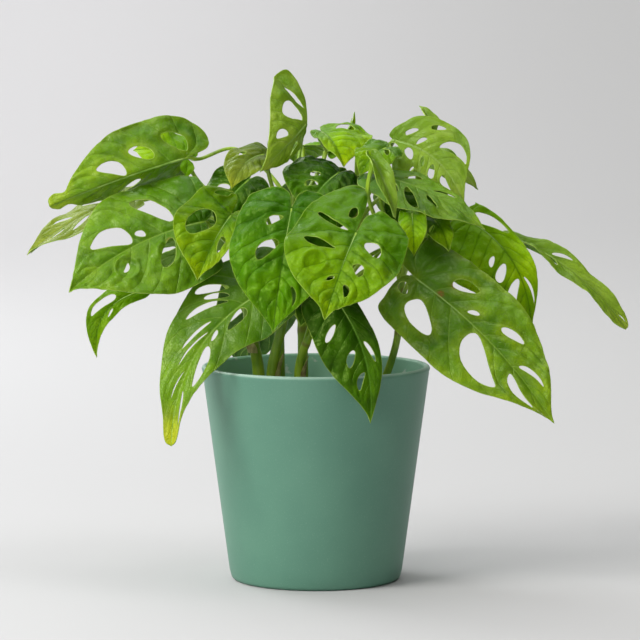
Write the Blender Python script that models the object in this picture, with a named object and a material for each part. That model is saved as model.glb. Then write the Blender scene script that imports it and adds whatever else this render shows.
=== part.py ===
"""A Swiss-cheese vine, Monstera adansonii, in a nursery pot inside a glazed cover pot.

The origin is the centre of the cover pot's base, with +Z up and the plant's best side to -Y.
Sizes are in metres; the leaves and vines are listed in millimetres and scaled by MM.
"""
import math
import random
from dataclasses import dataclass

import bmesh
import bpy
import numpy as np
from mathutils import Matrix, Vector
from mathutils.geometry import delaunay_2d_cdt

MM = 0.001
TOUCH_GAP = 0.0003

# Cover pot
POT_HEIGHT = 0.130
POT_RIM_RADIUS = 0.069
POT_BASE_RADIUS = 0.0516
POT_WALL = 0.0038
POT_FLOOR = 0.005
POT_EDGE_ROUND = 0.0045
POT_SEGMENTS = 60

# Nursery pot and soil
GROW_SEGMENTS = 32
GROW_HEIGHT = 0.107
GROW_RIM_RADIUS = 0.0585
GROW_BASE_RADIUS = 0.0415
GROW_LIP = 0.0022
GROW_LIP_HEIGHT = 0.006
GROW_WALL = 0.0012
DRAIN_RADIUS = 0.004
DRAIN_RING_RADIUS = 0.026
DRAIN_COUNT = 5
SOIL_TOP = 0.104
SOIL_UNEVEN = 0.0022
SOIL_RINGS = (0.78, 0.54, 0.3)

# Vines and leaf stalks
VINE_SIDES = 10
VINE_STEPS = 9
STALK_SIDES = 5
STALK_STEPS = 7
STALK_RADIUS = 0.0014
STALK_FOOT_RADIUS = 0.0019
ROOTED_DEPTH = 0.030

# Dry sheaths round the feet of the vines
SHEATH_THICKNESS = 0.0007
SHEATH_ROWS = 4
SHEATH_FLARE = 0.12

# Leaf blades
BLADE_THICKNESS = 0.0011
BLADE_EDGE_SHARE = 0.6
VEIN_SWEEP = 0.15
VEIN_SWEEP_GAIN = 0.9
STALK_CLEARANCE = 0.0014
STALK_LEAN = 0.5                # how far a stalk's ends turn towards its straight line
STALK_FOLLOW = 0.25             # how far a stalk's end turns along its leaf's midrib
STALK_RISE = 0.60               # how far a stalk's end turns up through its leaf
LEFT = 0
RIGHT = 1


@dataclass(frozen=True)
class Outline:
    """Half of a leaf's edge, from the tip to the notch where the stalk joins.

    The front is in shares of the length along the midrib and of the half width. The lobe
    behind the stalk is in shares of the lobe's own depth and of the half width.
    """
    front: tuple
    lobe: tuple


HEART = Outline(((1.0, 0.0), (0.95, 0.07), (0.87, 0.25), (0.76, 0.52), (0.63, 0.78),
                 (0.48, 0.95), (0.32, 1.0), (0.14, 0.96)),
                ((0.40, 0.82), (0.86, 0.57), (1.0, 0.32), (0.75, 0.10)))
WIDE = Outline(((1.0, 0.0), (0.90, 0.13), (0.80, 0.39), (0.67, 0.68), (0.51, 0.89),
                (0.36, 1.0), (0.18, 1.02), (-0.02, 0.98)),
               ((0.42, 0.87), (0.78, 0.61), (1.0, 0.26), (0.72, 0.05)))
LONG = Outline(((1.0, 0.0), (0.97, 0.13), (0.85, 0.21), (0.75, 0.34), (0.64, 0.50),
                (0.52, 0.66), (0.39, 0.77), (0.26, 0.90), (0.13, 1.0)),
               ((0.30, 0.86), (0.80, 0.60), (1.0, 0.30), (0.75, 0.10)))
FLAP = Outline(((1.0, 0.0), (0.99, 0.14), (0.94, 0.21), (0.87, 0.16), (0.79, 0.38),
                (0.66, 0.64), (0.48, 0.90), (0.32, 0.98), (0.14, 0.99)),
               ((0.25, 0.82), (0.75, 0.58), (1.0, 0.32), (0.85, 0.08)))
BLUNT = Outline(((1.0, 0.0), (0.985, 0.30), (0.93, 0.52), (0.83, 0.68), (0.68, 0.82),
                 (0.50, 0.93), (0.32, 1.0), (0.14, 0.96)),
                ((0.40, 0.82), (0.86, 0.57), (1.0, 0.32), (0.75, 0.10)))
SLOPE = Outline(((1.0, 0.0), (0.94, 0.06), (0.85, 0.20), (0.75, 0.44), (0.65, 0.74),
                 (0.53, 0.96), (0.40, 1.0), (0.26, 0.93)),
                ((-1.3, 0.74), (-0.5, 0.48), (0.3, 0.26), (0.5, 0.10)))
CREST = Outline(((1.0, 0.0), (0.92, 0.06), (0.83, 0.13), (0.68, 0.32), (0.49, 0.54),
                 (0.32, 0.72), (0.10, 0.97), (-0.12, 1.08)),
                ((0.85, 1.05), (1.0, 0.86), (0.86, 0.60), (0.60, 0.32)))


@dataclass(frozen=True)
class Hole:
    """One opening between two side veins of a blade."""
    side: int
    along: float
    inner: float
    outer: float
    width: float
    lean: float = 0.0


@dataclass(frozen=True)
class Leaf:
    """One blade: where its stalk joins, how far its tip reaches, and which way it faces."""
    name: str
    vine: str
    joint: float
    base: tuple
    reach: tuple
    faces: tuple
    half_widths: tuple
    holes: tuple = ()
    arch: float = 5.0
    sway: float = 0.0
    twist: float = 0.0
    fold: tuple = (8.0, 8.0)
    curl: tuple = (-24.0, -24.0)
    lobes: tuple = (0.16, 0.16)
    wave: float = 1.5
    outlines: tuple = (HEART, HEART)
    stalk_via: tuple = ()
    edge_points: int = 15


@dataclass(frozen=True)
class Vine:
    """One vine: its foot in the soil, then the points that it climbs through."""
    name: str
    foot: tuple
    climbs: tuple
    radius: float


VINES = (
    Vine("a", (-34, -4), ((-35, -4, 130), (-41, -6, 165), (-40, -2, 205)), 4.0),
    Vine("b", (-21, 7), ((-22, 7, 130), (-21, 11, 170), (-13, 8, 225)), 3.6),
    Vine("c", (-26, -15), ((-26, -15, 130), (-19, -19, 160), (-12, -22, 195)), 3.7),
    Vine("d", (-9, -19), ((-10, -19, 130), (-4, -24, 150), (8, -30, 180)), 3.1),
    Vine("e", (38, -8), ((41, -9, 120), (49, -11, 148), (52, -12, 190)), 2.8),
    Vine("f", (14, 18), ((15, 18, 130), (20, 23, 175), (26, 30, 222)), 3.6),
    Vine("g", (-8, 30), ((-8, 31, 130), (-8, 38, 170), (-4, 42, 215)), 3.6),
)


@dataclass(frozen=True)
class Sheath:
    """A dry, papery sheath left round the foot of a vine, with a torn upper edge."""
    vine: str
    low: float
    high: float
    radius: float
    starts: float
    arc: float
    torn: tuple


SHEATHS = (
    Sheath("a", 138, 148, 4.5, 150, 140, (0.5, 1.0, 0.6, 0.9, 0.4, 0.8, 0.3)),
    Sheath("c", 108, 139, 4.6, -80, 200, (0.4, 0.8, 1.0, 0.9, 0.95, 0.6, 0.7, 0.3)),
    Sheath("d", 108, 138, 3.8, -100, 190, (0.3, 0.7, 0.9, 1.0, 0.8, 0.6, 0.3)),
)


def h(side, along, inner, outer, width, lean=0.0):
    """Return one hole, so that a leaf's list of holes stays short."""
    return Hole(side, along, inner, outer, width, lean)


LEAVES = (
    Leaf("leaf_upper_left", "b", 0.97, (-76, 0, 256), (-83, -20, -29), (-90, 22), (22, 31),
         (h(RIGHT, 0.0, 0.14, 0.66, 0.10), h(RIGHT, 0.22, 0.16, 0.54, 0.11),
          h(RIGHT, 0.45, 0.04, 0.52, 0.13), h(LEFT, 0.30, 0.3, 0.7, 0.09)),
         fold=(-72, 4), curl=(-8, -10), lobes=(-0.06, 0.17), outlines=(FLAP, FLAP),
         stalk_via=(-46, 24, 258), edge_points=18),
    Leaf("leaf_middle_left", "a", 0.85, (-66, -16, 218), (-80, -30, -40), (-95, 28), (39, 38),
         (h(RIGHT, 0.18, 0.15, 0.71, 0.11), h(RIGHT, 0.50, 0.05, 0.64, 0.17),
          h(RIGHT, 0.39, 0.06, 0.20, 0.05), h(LEFT, 0.24, 0.14, 0.56, 0.10),
          h(LEFT, 0.53, 0.26, 0.44, 0.035)),
         sway=5, lobes=(0.0, 0.08)),
    Leaf("leaf_far_left", "b", 0.7, (-112, 44, 230), (-65, -10, -36), (-115, 68), (20, 18),
         (h(LEFT, 0.10, 0.2, 0.7, 0.08), h(LEFT, 0.36, 0.2, 0.7, 0.08), h(LEFT, 0.58, 0.2, 0.6, 0.07),
          h(RIGHT, 0.22, 0.2, 0.7, 0.08), h(RIGHT, 0.48, 0.2, 0.7, 0.08)), lobes=(0.05, 0.1),
         stalk_via=(-88, 42, 230)),
    Leaf("leaf_low_left", "a", 0.6, (-108, 16, 173), (-25, -6, -40), (-110, 15), (6, 11),
         (h(RIGHT, 0.26, 0.18, 0.78, 0.26), h(LEFT, 0.3, 0.25, 0.6, 0.08)), sway=9,
         stalk_via=(-76, 16, 188), edge_points=12),
    Leaf("leaf_front_left_long", "a", 0.5, (-27, -36, 180), (-58, -30, -91), (-104, 25), (26, 32),
         (h(RIGHT, 0.09, 0.44, 0.88, 0.045), h(RIGHT, 0.13, 0.30, 0.64, 0.035),
          h(RIGHT, 0.185, 0.24, 0.72, 0.05, 0.1), h(RIGHT, 0.35, 0.17, 0.42, 0.065, 0.4),
          h(RIGHT, 0.44, 0.06, 0.34, 0.04, 0.5), h(RIGHT, 0.65, 0.08, 0.36, 0.03, 0.3),
          h(LEFT, 0.18, 0.05, 0.38, 0.11), h(LEFT, 0.34, 0.06, 0.24, 0.05),
          h(LEFT, 0.43, 0.16, 0.76, 0.15), h(LEFT, 0.68, 0.24, 0.76, 0.07)),
         sway=16, outlines=(LONG, LONG), edge_points=18),
    Leaf("leaf_cupped", "a", 0.8, (-50, -26, 223), (-20, -22, -38), (-100, 30), (13, 28),
         (h(RIGHT, 0.20, 0.16, 0.74, 0.32), h(LEFT, 0.38, 0.20, 0.64, 0.18),
          h(RIGHT, -0.22, 0.45, 0.80, 0.12)),
         fold=(16, 16), curl=(-10, -10), lobes=(0.08, 0.36)),
    Leaf("leaf_front_left", "c", 0.95, (-14, -48, 229), (-11, -30, -72), (-98, 25), (30, 33),
         (h(RIGHT, 0.30, 0.10, 0.52, 0.12), h(RIGHT, 0.09, 0.12, 0.42, 0.06),
          h(LEFT, 0.56, 0.35, 0.75, 0.05))),
    Leaf("leaf_front", "d", 0.95, (24, -70, 216), (-19, -32, -49), (-92, 36), (32, 37),
         (h(RIGHT, 0.17, 0.22, 0.72, 0.07, -0.25), h(RIGHT, -0.06, 0.14, 0.74, 0.05, -0.25),
          h(RIGHT, -0.20, 0.10, 0.26, 0.13), h(RIGHT, 0.57, 0.07, 0.22, 0.05),
          h(LEFT, 0.11, 0.24, 0.58, 0.12), h(LEFT, 0.37, 0.20, 0.46, 0.11),
          h(LEFT, 0.60, 0.20, 0.50, 0.08)),
         lobes=(0.30, 0.60), outlines=(WIDE, WIDE), edge_points=20),
    Leaf("leaf_crest", "b", 0.98, (-5, 0, 276), (-28, -30, -28), (-60, 23), (15, 31),
         (h(RIGHT, -0.15, 0.24, 0.74, 0.07), h(RIGHT, 0.04, 0.12, 0.66, 0.18),
          h(RIGHT, 0.36, 0.20, 0.60, 0.14), h(LEFT, 0.25, 0.25, 0.75, 0.12)),
         fold=(-50, 6), curl=(-12, -8), lobes=(-0.05, 0.45), outlines=(HEART, CREST),
         stalk_via=(-9, 22, 262), edge_points=17),
    Leaf("leaf_crest_right", "b", 0.9, (3, 10, 271), (14, -20, -21), (-70, 42), (29, 8),
         (h(LEFT, 0.02, 0.35, 0.72, 0.18),), lobes=(0.24, 0.12), stalk_via=(6, 22, 256),
         edge_points=12),
    Leaf("leaf_spear", "f", 0.85, (8, 44, 256), (16, 4, 25), (-40, 10), (4, 4), fold=(50, 50),
         lobes=(0.06, 0.06), edge_points=9),
    Leaf("leaf_upper_right", "f", 0.98, (47, 14, 265), (42, -18, -38), (-96, 20), (24, 27),
         (h(LEFT, 0.065, 0.30, 0.56, 0.07), h(LEFT, 0.15, 0.62, 0.84, 0.06),
          h(LEFT, 0.38, 0.28, 0.86, 0.15), h(LEFT, 0.21, 0.08, 0.34, 0.05),
          h(RIGHT, 0.0, 0.14, 0.50, 0.09), h(RIGHT, 0.16, 0.08, 0.36, 0.10),
          h(RIGHT, 0.23, 0.46, 0.82, 0.11), h(RIGHT, 0.33, 0.12, 0.34, 0.05),
          h(RIGHT, 0.47, 0.12, 0.48, 0.08), h(RIGHT, 0.63, 0.16, 0.68, 0.10)),
         sway=-8, lobes=(0.1, 0.1), outlines=(SLOPE, SLOPE), edge_points=17),
    Leaf("leaf_spike", "f", 0.92, (70, 40, 268), (-7, 2, 17), (-60, 10), (4, 5), fold=(30, 30),
         edge_points=9),
    Leaf("leaf_right_tip", "f", 0.9, (68, 46, 254), (32, 2, -21), (-60, 55), (15, 15),
         (h(LEFT, 0.3, 0.2, 0.7, 0.12),), edge_points=11),
    Leaf("leaf_arching_right", "e", 0.95, (40, -8, 245), (61, -18, -31), (-72, 66), (14, 28),
         (h(RIGHT, 0.0, 0.20, 0.56, 0.06), h(RIGHT, 0.10, 0.24, 0.62, 0.05),
          h(RIGHT, 0.21, 0.22, 0.90, 0.08), h(RIGHT, 0.40, 0.20, 0.60, 0.06),
          h(LEFT, 0.14, 0.25, 0.7, 0.06), h(LEFT, 0.42, 0.2, 0.7, 0.08))),
    Leaf("leaf_right_wavy", "f", 0.7, (92, 14, 217), (38, -16, -68), (-88, 16), (12, 35),
         (h(LEFT, 0.05, 0.16, 0.84, 0.15), h(RIGHT, 0.30, 0.22, 0.40, 0.05),
          h(RIGHT, 0.42, 0.14, 0.50, 0.09), h(RIGHT, 0.60, 0.06, 0.66, 0.11),
          h(LEFT, 0.57, 0.16, 0.76, 0.07)),
         arch=10, sway=-10, lobes=(0.05, 0.1), outlines=(WIDE, WIDE)),
    Leaf("leaf_right_large", "e", 0.7, (58, -40, 187), (82, -30, -84), (-80, 36), (34, 38),
         (h(RIGHT, 0.07, 0.32, 0.74, 0.14), h(RIGHT, 0.40, 0.10, 0.80, 0.19),
          h(RIGHT, -0.03, 0.22, 0.46, 0.05), h(RIGHT, 0.65, 0.18, 0.76, 0.11),
          h(RIGHT, 0.70, 0.7, 1.15, 0.025),
          h(LEFT, 0.13, 0.30, 0.62, 0.08), h(LEFT, 0.30, 0.10, 0.24, 0.04),
          h(LEFT, 0.42, 0.30, 0.60, 0.08),
          h(LEFT, 0.66, 0.12, 0.60, 0.06)),
         sway=-4, lobes=(0.14, 0.05), edge_points=18),
    Leaf("leaf_far_right", "f", 0.65, (125, 26, 203), (64, -8, -53), (-62, 50), (8, 12),
         (h(LEFT, 0.2, 0.2, 0.7, 0.07), h(RIGHT, 0.15, 0.2, 0.7, 0.07),
          h(LEFT, 0.86, 0.25, 0.65, 0.04)),
         arch=8, fold=(34, 26), twist=20, outlines=(BLUNT, BLUNT), edge_points=14),
    Leaf("leaf_over_rim", "d", 0.6, (11, -68, 177), (21, -12, -73), (-86, 12), (10, 25),
         (h(RIGHT, 0.40, 0.20, 0.50, 0.09), h(RIGHT, 0.12, 0.35, 0.75, 0.05),
          h(RIGHT, 0.60, 0.12, 0.52, 0.08), h(LEFT, 0.36, 0.20, 0.62, 0.09)), sway=-7),
    Leaf("leaf_small_left", "b", 0.85, (-30, -8, 258), (-20, -24, -20), (-106, 25), (13, 15),
         (h(RIGHT, 0.25, 0.32, 0.52, 0.12),), sway=3, edge_points=12),
    Leaf("leaf_under_crest", "c", 0.9, (14, -9, 247), (-22, -28, -24), (-96, 36), (15, 29),
         (h(RIGHT, 0.46, 0.1, 0.4, 0.10), h(RIGHT, 0.26, 0.2, 0.4, 0.09)), edge_points=12),
    Leaf("leaf_between", "f", 0.97, (43, -6, 262), (-17, -12, -17), (-100, 50), (13, 14),
         (h(LEFT, 0.4, 0.2, 0.7, 0.14), h(LEFT, 0.15, 0.2, 0.6, 0.10)),
         stalk_via=(27, 22, 262), edge_points=12),
    Leaf("leaf_folded", "e", 0.9, (34, -42, 256), (13, -12, -34), (-80, 30), (7, 7),
         fold=(50, 50), edge_points=11, stalk_via=(31, -32, 234)),
    Leaf("leaf_curled_small", "e", 0.85, (57, -36, 225), (1, -12, -26), (-90, 25), (8, 9),
         edge_points=10),
    Leaf("leaf_split", "e", 0.92, (70, -24, 220), (9, -10, -19), (-80, 40), (7, 10),
         (h(RIGHT, 0.2, 0.3, 0.85, 0.09),), lobes=(0.02, 0.16), edge_points=12),
    Leaf("leaf_behind_left", "b", 0.8, (-80, 72, 251), (-34, 4, 5), (-110, 40), (16, 17),
         (h(LEFT, 0.3, 0.2, 0.6, 0.12),), edge_points=12),
    Leaf("leaf_young", "d", 0.8, (-2, -54, 171), (-7, -8, -12), (-100, 30), (7, 7),
         edge_points=9),
    Leaf("leaf_inner_left", "b", 0.75, (-40, 10, 242), (-21, -4, -27), (-100, 30), (17, 20),
         (h(RIGHT, 0.3, 0.2, 0.6, 0.12),), edge_points=12),
    Leaf("leaf_inner_middle", "g", 0.78, (19, 16, 240), (-18, -8, -36), (-96, 26), (15, 16),
         (h(RIGHT, 0.3, 0.2, 0.6, 0.12),), edge_points=12),
    Leaf("leaf_inner_right", "f", 0.55, (66, 26, 232), (-16, -6, -42), (-88, 28), (19, 20),
         (h(LEFT, 0.3, 0.2, 0.6, 0.12),), edge_points=12),
    Leaf("leaf_back_left", "g", 0.9, (-60, 74, 212), (-42, 34, -42), (130, 42), (32, 30),
         (h(RIGHT, 0.12, 0.2, 0.8, 0.09), h(RIGHT, 0.38, 0.15, 0.75, 0.11),
          h(LEFT, 0.2, 0.2, 0.8, 0.10), h(LEFT, 0.5, 0.15, 0.7, 0.09))),
    Leaf("leaf_back", "g", 0.98, (2, 76, 232), (8, 44, -58), (84, 40), (28, 28),
         (h(RIGHT, 0.1, 0.2, 0.8, 0.09), h(RIGHT, 0.4, 0.15, 0.75, 0.12),
          h(LEFT, 0.22, 0.2, 0.8, 0.11), h(LEFT, 0.52, 0.15, 0.7, 0.09))),
    Leaf("leaf_back_right", "f", 0.8, (56, 66, 226), (46, 34, -48), (48, 44), (31, 31),
         (h(RIGHT, 0.14, 0.2, 0.8, 0.10), h(RIGHT, 0.44, 0.15, 0.7, 0.10),
          h(LEFT, 0.1, 0.2, 0.8, 0.09), h(LEFT, 0.36, 0.15, 0.75, 0.12))),
    Leaf("leaf_back_low", "g", 0.5, (-32, 62, 178), (-14, 36, -66), (100, 22), (26, 27),
         (h(RIGHT, 0.2, 0.2, 0.75, 0.10), h(LEFT, 0.3, 0.2, 0.75, 0.10))),
    Leaf("leaf_back_top", "g", 0.95, (-8, 62, 260), (-2, 40, -16), (85, 62), (22, 22),
         (h(RIGHT, 0.2, 0.2, 0.75, 0.10), h(LEFT, 0.35, 0.2, 0.75, 0.11))),
)


def clear_scene():
    """Remove whatever objects the file holds."""
    for item in list(bpy.data.objects):
        bpy.data.objects.remove(item, do_unlink=True)


def make_material(name, colour, roughness):
    """Return a plain non-metal Principled material."""
    material = bpy.data.materials.new(name)
    material.use_nodes = True
    shader = material.node_tree.nodes["Principled BSDF"]
    shader.inputs["Base Color"].default_value = (*colour, 1.0)
    shader.inputs["Roughness"].default_value = roughness
    shader.inputs["Metallic"].default_value = 0.0
    return material


def link_mesh(name, mesh, material, parent=None):
    """Put a mesh in the scene as one named object."""
    thing = bpy.data.objects.new(name, mesh)
    bpy.context.scene.collection.objects.link(thing)
    mesh.materials.append(material)
    thing.parent = parent
    return thing


def finished_mesh(thing):
    """Return a new mesh with the object's modifiers applied."""
    bpy.context.view_layer.update()
    graph = bpy.context.evaluated_depsgraph_get()
    return bpy.data.meshes.new_from_object(thing.evaluated_get(graph))


def combine(thing, others, operation, solver):
    """Join or cut an object with others in one Boolean step, then remove the others."""
    tools = bpy.data.collections.new(thing.name + "_tools")
    bpy.context.scene.collection.children.link(tools)
    for other in others:
        tools.objects.link(other)
        other.hide_render = True
        other.display_type = "WIRE"
    step = thing.modifiers.new("combine", "BOOLEAN")
    step.operation = operation
    step.operand_type = "COLLECTION"
    step.collection = tools
    step.solver = solver
    mesh = finished_mesh(thing)
    thing.modifiers.clear()
    thing.data = mesh
    for other in others:
        bpy.data.objects.remove(other, do_unlink=True)
    bpy.data.collections.remove(tools)


def turned_mesh(name, profile, segments):
    """Turn a profile of (radius, height) points about the Z axis into a closed mesh."""
    shape = bmesh.new()
    points = [shape.verts.new((radius, 0.0, height)) for radius, height in profile]
    edges = [shape.edges.new(pair) for pair in zip(points, points[1:])]
    bmesh.ops.spin(shape, geom=points + edges, axis=(0, 0, 1), cent=(0, 0, 0),
                   steps=segments, angle=2 * math.pi, use_merge=True, use_normal_flip=False)
    bmesh.ops.remove_doubles(shape, verts=shape.verts, dist=1e-6)
    bmesh.ops.recalc_face_normals(shape, faces=shape.faces)
    mesh = bpy.data.meshes.new(name)
    shape.to_mesh(mesh)
    shape.free()
    mesh.shade_smooth()
    mesh.set_sharp_from_angle(angle=math.radians(40))
    return mesh


def pot_profile():
    """Return the cover pot's section, from the underside's centre round to the floor's."""
    slope = (POT_RIM_RADIUS - POT_BASE_RADIUS) / POT_HEIGHT
    lip = POT_WALL / 2
    inner_rim = POT_RIM_RADIUS - POT_WALL
    inner_base = POT_BASE_RADIUS + slope * POT_FLOOR - POT_WALL
    points = [(0.0, 0.0)]
    for step in range(4):
        turn = math.radians(30 * step)
        points.append((POT_BASE_RADIUS - POT_EDGE_ROUND * (1 - math.sin(turn)),
                       POT_EDGE_ROUND * (1 - math.cos(turn))))
    for step in range(5):
        turn = math.radians(45 * step)
        points.append((POT_RIM_RADIUS - lip + lip * math.cos(turn),
                       POT_HEIGHT - lip + lip * math.sin(turn)))
    points[-1] = (inner_rim, POT_HEIGHT - lip)
    points.append((inner_base, POT_FLOOR + 0.003))
    points.append((inner_base - 0.003, POT_FLOOR))
    points.append((0.0, POT_FLOOR))
    return points


def grow_inner_radius(height):
    """Return the nursery pot's inner radius at a height above its own underside."""
    share = height / GROW_HEIGHT
    return GROW_BASE_RADIUS + (GROW_RIM_RADIUS - GROW_BASE_RADIUS) * share - GROW_WALL


def grow_profile():
    """Return the nursery pot's section, a thin tapered cup with a turned-out lip."""
    low = POT_FLOOR + TOUCH_GAP
    lip_foot = GROW_HEIGHT - GROW_LIP_HEIGHT
    return [
        (0.0, low),
        (GROW_BASE_RADIUS, low),
        (grow_inner_radius(lip_foot) + GROW_WALL, low + lip_foot),
        (GROW_RIM_RADIUS + GROW_LIP, low + lip_foot),
        (GROW_RIM_RADIUS + GROW_LIP, low + GROW_HEIGHT),
        (grow_inner_radius(GROW_HEIGHT), low + GROW_HEIGHT),
        (grow_inner_radius(GROW_WALL), low + GROW_WALL),
        (0.0, low + GROW_WALL),
    ]


def soil_profile():
    """Return the soil's section, a plug just inside the nursery pot."""
    low = POT_FLOOR + TOUCH_GAP
    foot = GROW_WALL + TOUCH_GAP
    top_radius = grow_inner_radius(SOIL_TOP - low) - TOUCH_GAP
    points = [(0.0, low + foot), (grow_inner_radius(foot) - TOUCH_GAP, low + foot)]
    points.append((top_radius, SOIL_TOP))
    points += [(top_radius * share, SOIL_TOP) for share in SOIL_RINGS]
    points.append((0.0, SOIL_TOP))
    return points


def make_cylinder(name, place, radius, depth, sides):
    """Return a plain upright cylinder, for cutting a round hole."""
    shape = bmesh.new()
    bmesh.ops.create_cone(shape, cap_ends=True, segments=sides, radius1=radius, radius2=radius,
                          depth=depth, matrix=Matrix.Translation(place))
    mesh = bpy.data.meshes.new(name)
    shape.to_mesh(mesh)
    shape.free()
    return bpy.data.objects.new(name, mesh)


def build_pot():
    """Make the glazed cover pot."""
    material = make_material("pot_glaze", (0.10, 0.27, 0.19), 0.38)
    return link_mesh("pot", turned_mesh("pot", pot_profile(), POT_SEGMENTS), material)


def build_grow_pot(parent):
    """Make the nursery pot with its ring of drain holes."""
    material = make_material("nursery_plastic", (0.02, 0.02, 0.022), 0.55)
    mesh = turned_mesh("grow_pot", grow_profile(), GROW_SEGMENTS)
    cup = link_mesh("grow_pot", mesh, material, parent)
    drills = []
    for index in range(DRAIN_COUNT):
        turn = 2 * math.pi * index / DRAIN_COUNT
        place = Vector((DRAIN_RING_RADIUS * math.cos(turn), DRAIN_RING_RADIUS * math.sin(turn),
                        POT_FLOOR))
        drills.append(make_cylinder("drain", place, DRAIN_RADIUS, 4 * GROW_WALL, 10))
    combine(cup, drills, "DIFFERENCE", "EXACT")
    return cup


def build_soil(parent):
    """Make the soil with an uneven top and a plain round hole for each vine."""
    material = make_material("potting_soil", (0.045, 0.028, 0.018), 0.95)
    mesh = turned_mesh("soil", soil_profile(), GROW_SEGMENTS)
    for point in mesh.vertices:
        x, y, z = point.co
        if z > SOIL_TOP - 1e-4 and math.hypot(x, y) < GROW_RIM_RADIUS * 0.85:
            point.co.z += SOIL_UNEVEN * (math.sin(210 * x + 1.3) + math.cos(170 * y - 60 * x)) / 2
    soil = link_mesh("soil", mesh, material, parent)
    drills = []
    for vine in VINES:
        place = Vector((vine.foot[0] * MM, vine.foot[1] * MM, SOIL_TOP))
        radius = vine.radius * MM + TOUCH_GAP
        drills.append(make_cylinder("socket", place, radius, 2 * (ROOTED_DEPTH + TOUCH_GAP),
                                    VINE_SIDES))
    combine(soil, drills, "DIFFERENCE", "EXACT")
    return soil


def catmull_rom(points, steps):
    """Return a smooth run of points through the given ones, as a numpy array."""
    knots = np.array(points, dtype=float)
    ends = np.vstack((2 * knots[0] - knots[1], knots, 2 * knots[-1] - knots[-2]))
    run = []
    for share in np.linspace(0, len(knots) - 1, steps):
        first = min(int(share), len(knots) - 2)
        t = share - first
        a, b, c, d = ends[first:first + 4]
        run.append(0.5 * (2 * b + (c - a) * t + (2 * a - 5 * b + 4 * c - d) * t ** 2
                          + (3 * b - a - 3 * c + d) * t ** 3))
    return np.array(run)


def bent_run(knots, leave, arrive, steps):
    """Return points on an easy bend through the knots, with a given way at each end."""
    spans = [(after - before).length for before, after in zip(knots, knots[1:])]
    ways = [leave] + [after - before for before, after in zip(knots, knots[2:])] + [arrive]
    reach = np.cumsum([0.0] + spans)
    run = []
    for place in np.linspace(0, reach[-1], steps):
        first = min(int(np.searchsorted(reach, place, side="right")) - 1, len(spans) - 1)
        t = float(place - reach[first]) / spans[first]
        start, end = knots[first], knots[first + 1]
        out = ways[first].normalized() * spans[first]
        into = ways[first + 1].normalized() * spans[first]
        run.append(start * (2 * t ** 3 - 3 * t ** 2 + 1) + out * (t ** 3 - 2 * t ** 2 + t)
                   + end * (3 * t ** 2 - 2 * t ** 3) + into * (t ** 3 - t ** 2))
    return run


def tube_mesh(name, centres, radii, sides):
    """Return a closed tube round a run of centre points."""
    shape = bmesh.new()
    rings = []
    lean = Vector((1, 0, 0))
    last = len(centres) - 1
    for index, centre in enumerate(centres):
        ahead = centres[min(index + 1, last)] - centres[max(index - 1, 0)]
        lean = (lean - ahead * lean.dot(ahead) / ahead.length_squared).normalized()
        side = ahead.normalized().cross(lean)
        ring = []
        for corner in range(sides):
            turn = 2 * math.pi * corner / sides
            arm = lean * math.cos(turn) + side * math.sin(turn)
            ring.append(shape.verts.new(centre + arm * radii[index]))
        rings.append(ring)
    for low, high in zip(rings, rings[1:]):
        for corner in range(sides):
            after = (corner + 1) % sides
            shape.faces.new((low[corner], low[after], high[after], high[corner]))
    shape.faces.new(list(reversed(rings[0])))
    shape.faces.new(rings[-1])
    bmesh.ops.triangulate(shape, faces=shape.faces)
    bmesh.ops.recalc_face_normals(shape, faces=shape.faces)
    mesh = bpy.data.meshes.new(name)
    shape.to_mesh(mesh)
    shape.free()
    mesh.shade_smooth()
    return mesh


def vine_points(vine):
    """Return the vine's centre line, straight in the soil and curved above it."""
    x, y = vine.foot
    rooted = Vector((x, y, 0)) * MM + Vector((0, 0, SOIL_TOP - ROOTED_DEPTH))
    ground = Vector((x, y, 0)) * MM + Vector((0, 0, SOIL_TOP + SOIL_UNEVEN + TOUCH_GAP))
    knots = [tuple(ground)] + [tuple(Vector(point) * MM) for point in vine.climbs]
    return [rooted] + [Vector(point) for point in catmull_rom(knots, VINE_STEPS)]


class Blade:
    """The bent surface of one leaf, from shares of its length and half width to space."""

    def __init__(self, leaf, phase):
        self.leaf = leaf
        self.phase = phase
        self.start = Vector(leaf.base) * MM
        self.chord = Vector(leaf.reach) * MM
        self.length = self.chord.length
        turn, rise = (math.radians(angle) for angle in leaf.faces)
        outward = Vector((math.cos(rise) * math.cos(turn), math.cos(rise) * math.sin(turn),
                          math.sin(rise)))
        along = self.chord.normalized()
        self.up = (outward - along * outward.dot(along)).normalized()
        bow = self.up * leaf.arch + along.cross(self.up) * leaf.sway
        self.bend = self.start + self.chord / 2 + bow * 2 * MM

    def frame(self, along):
        """Return the midrib's point there, with the blade's forward, side and up directions."""
        inside = max(along, 0.0)
        tip = self.start + self.chord
        first = self.bend - self.start
        second = tip - self.bend
        centre = (self.start * (1 - inside) ** 2 + self.bend * 2 * inside * (1 - inside)
                  + tip * inside ** 2)
        forward = (first * (1 - inside) + second * inside).normalized()
        centre = centre + forward * (along - inside) * self.length
        spin = Matrix.Rotation(math.radians(self.leaf.twist) * (inside - 0.5), 3, forward)
        up = spin @ self.up
        up = (up - forward * up.dot(forward)).normalized()
        return centre, forward, forward.cross(up), up

    def place(self, along, across):
        """Return the point at a share of the length and a signed share of the half width."""
        side = RIGHT if across >= 0 else LEFT
        sign = 1 if side == RIGHT else -1
        half = self.leaf.half_widths[side] * MM
        fold = math.radians(self.leaf.fold[side])
        bend = math.radians(self.leaf.curl[side]) / half
        reach = abs(across) * half
        out = (math.sin(fold + bend * reach) - math.sin(fold)) / bend
        lift = (math.cos(fold) - math.cos(fold + bend * reach)) / bend
        lift += self.leaf.wave * MM * across ** 2 * math.sin(12 * along + self.phase + sign)
        centre, _, right, up = self.frame(along)
        return centre + right * out * sign + up * lift


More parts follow.
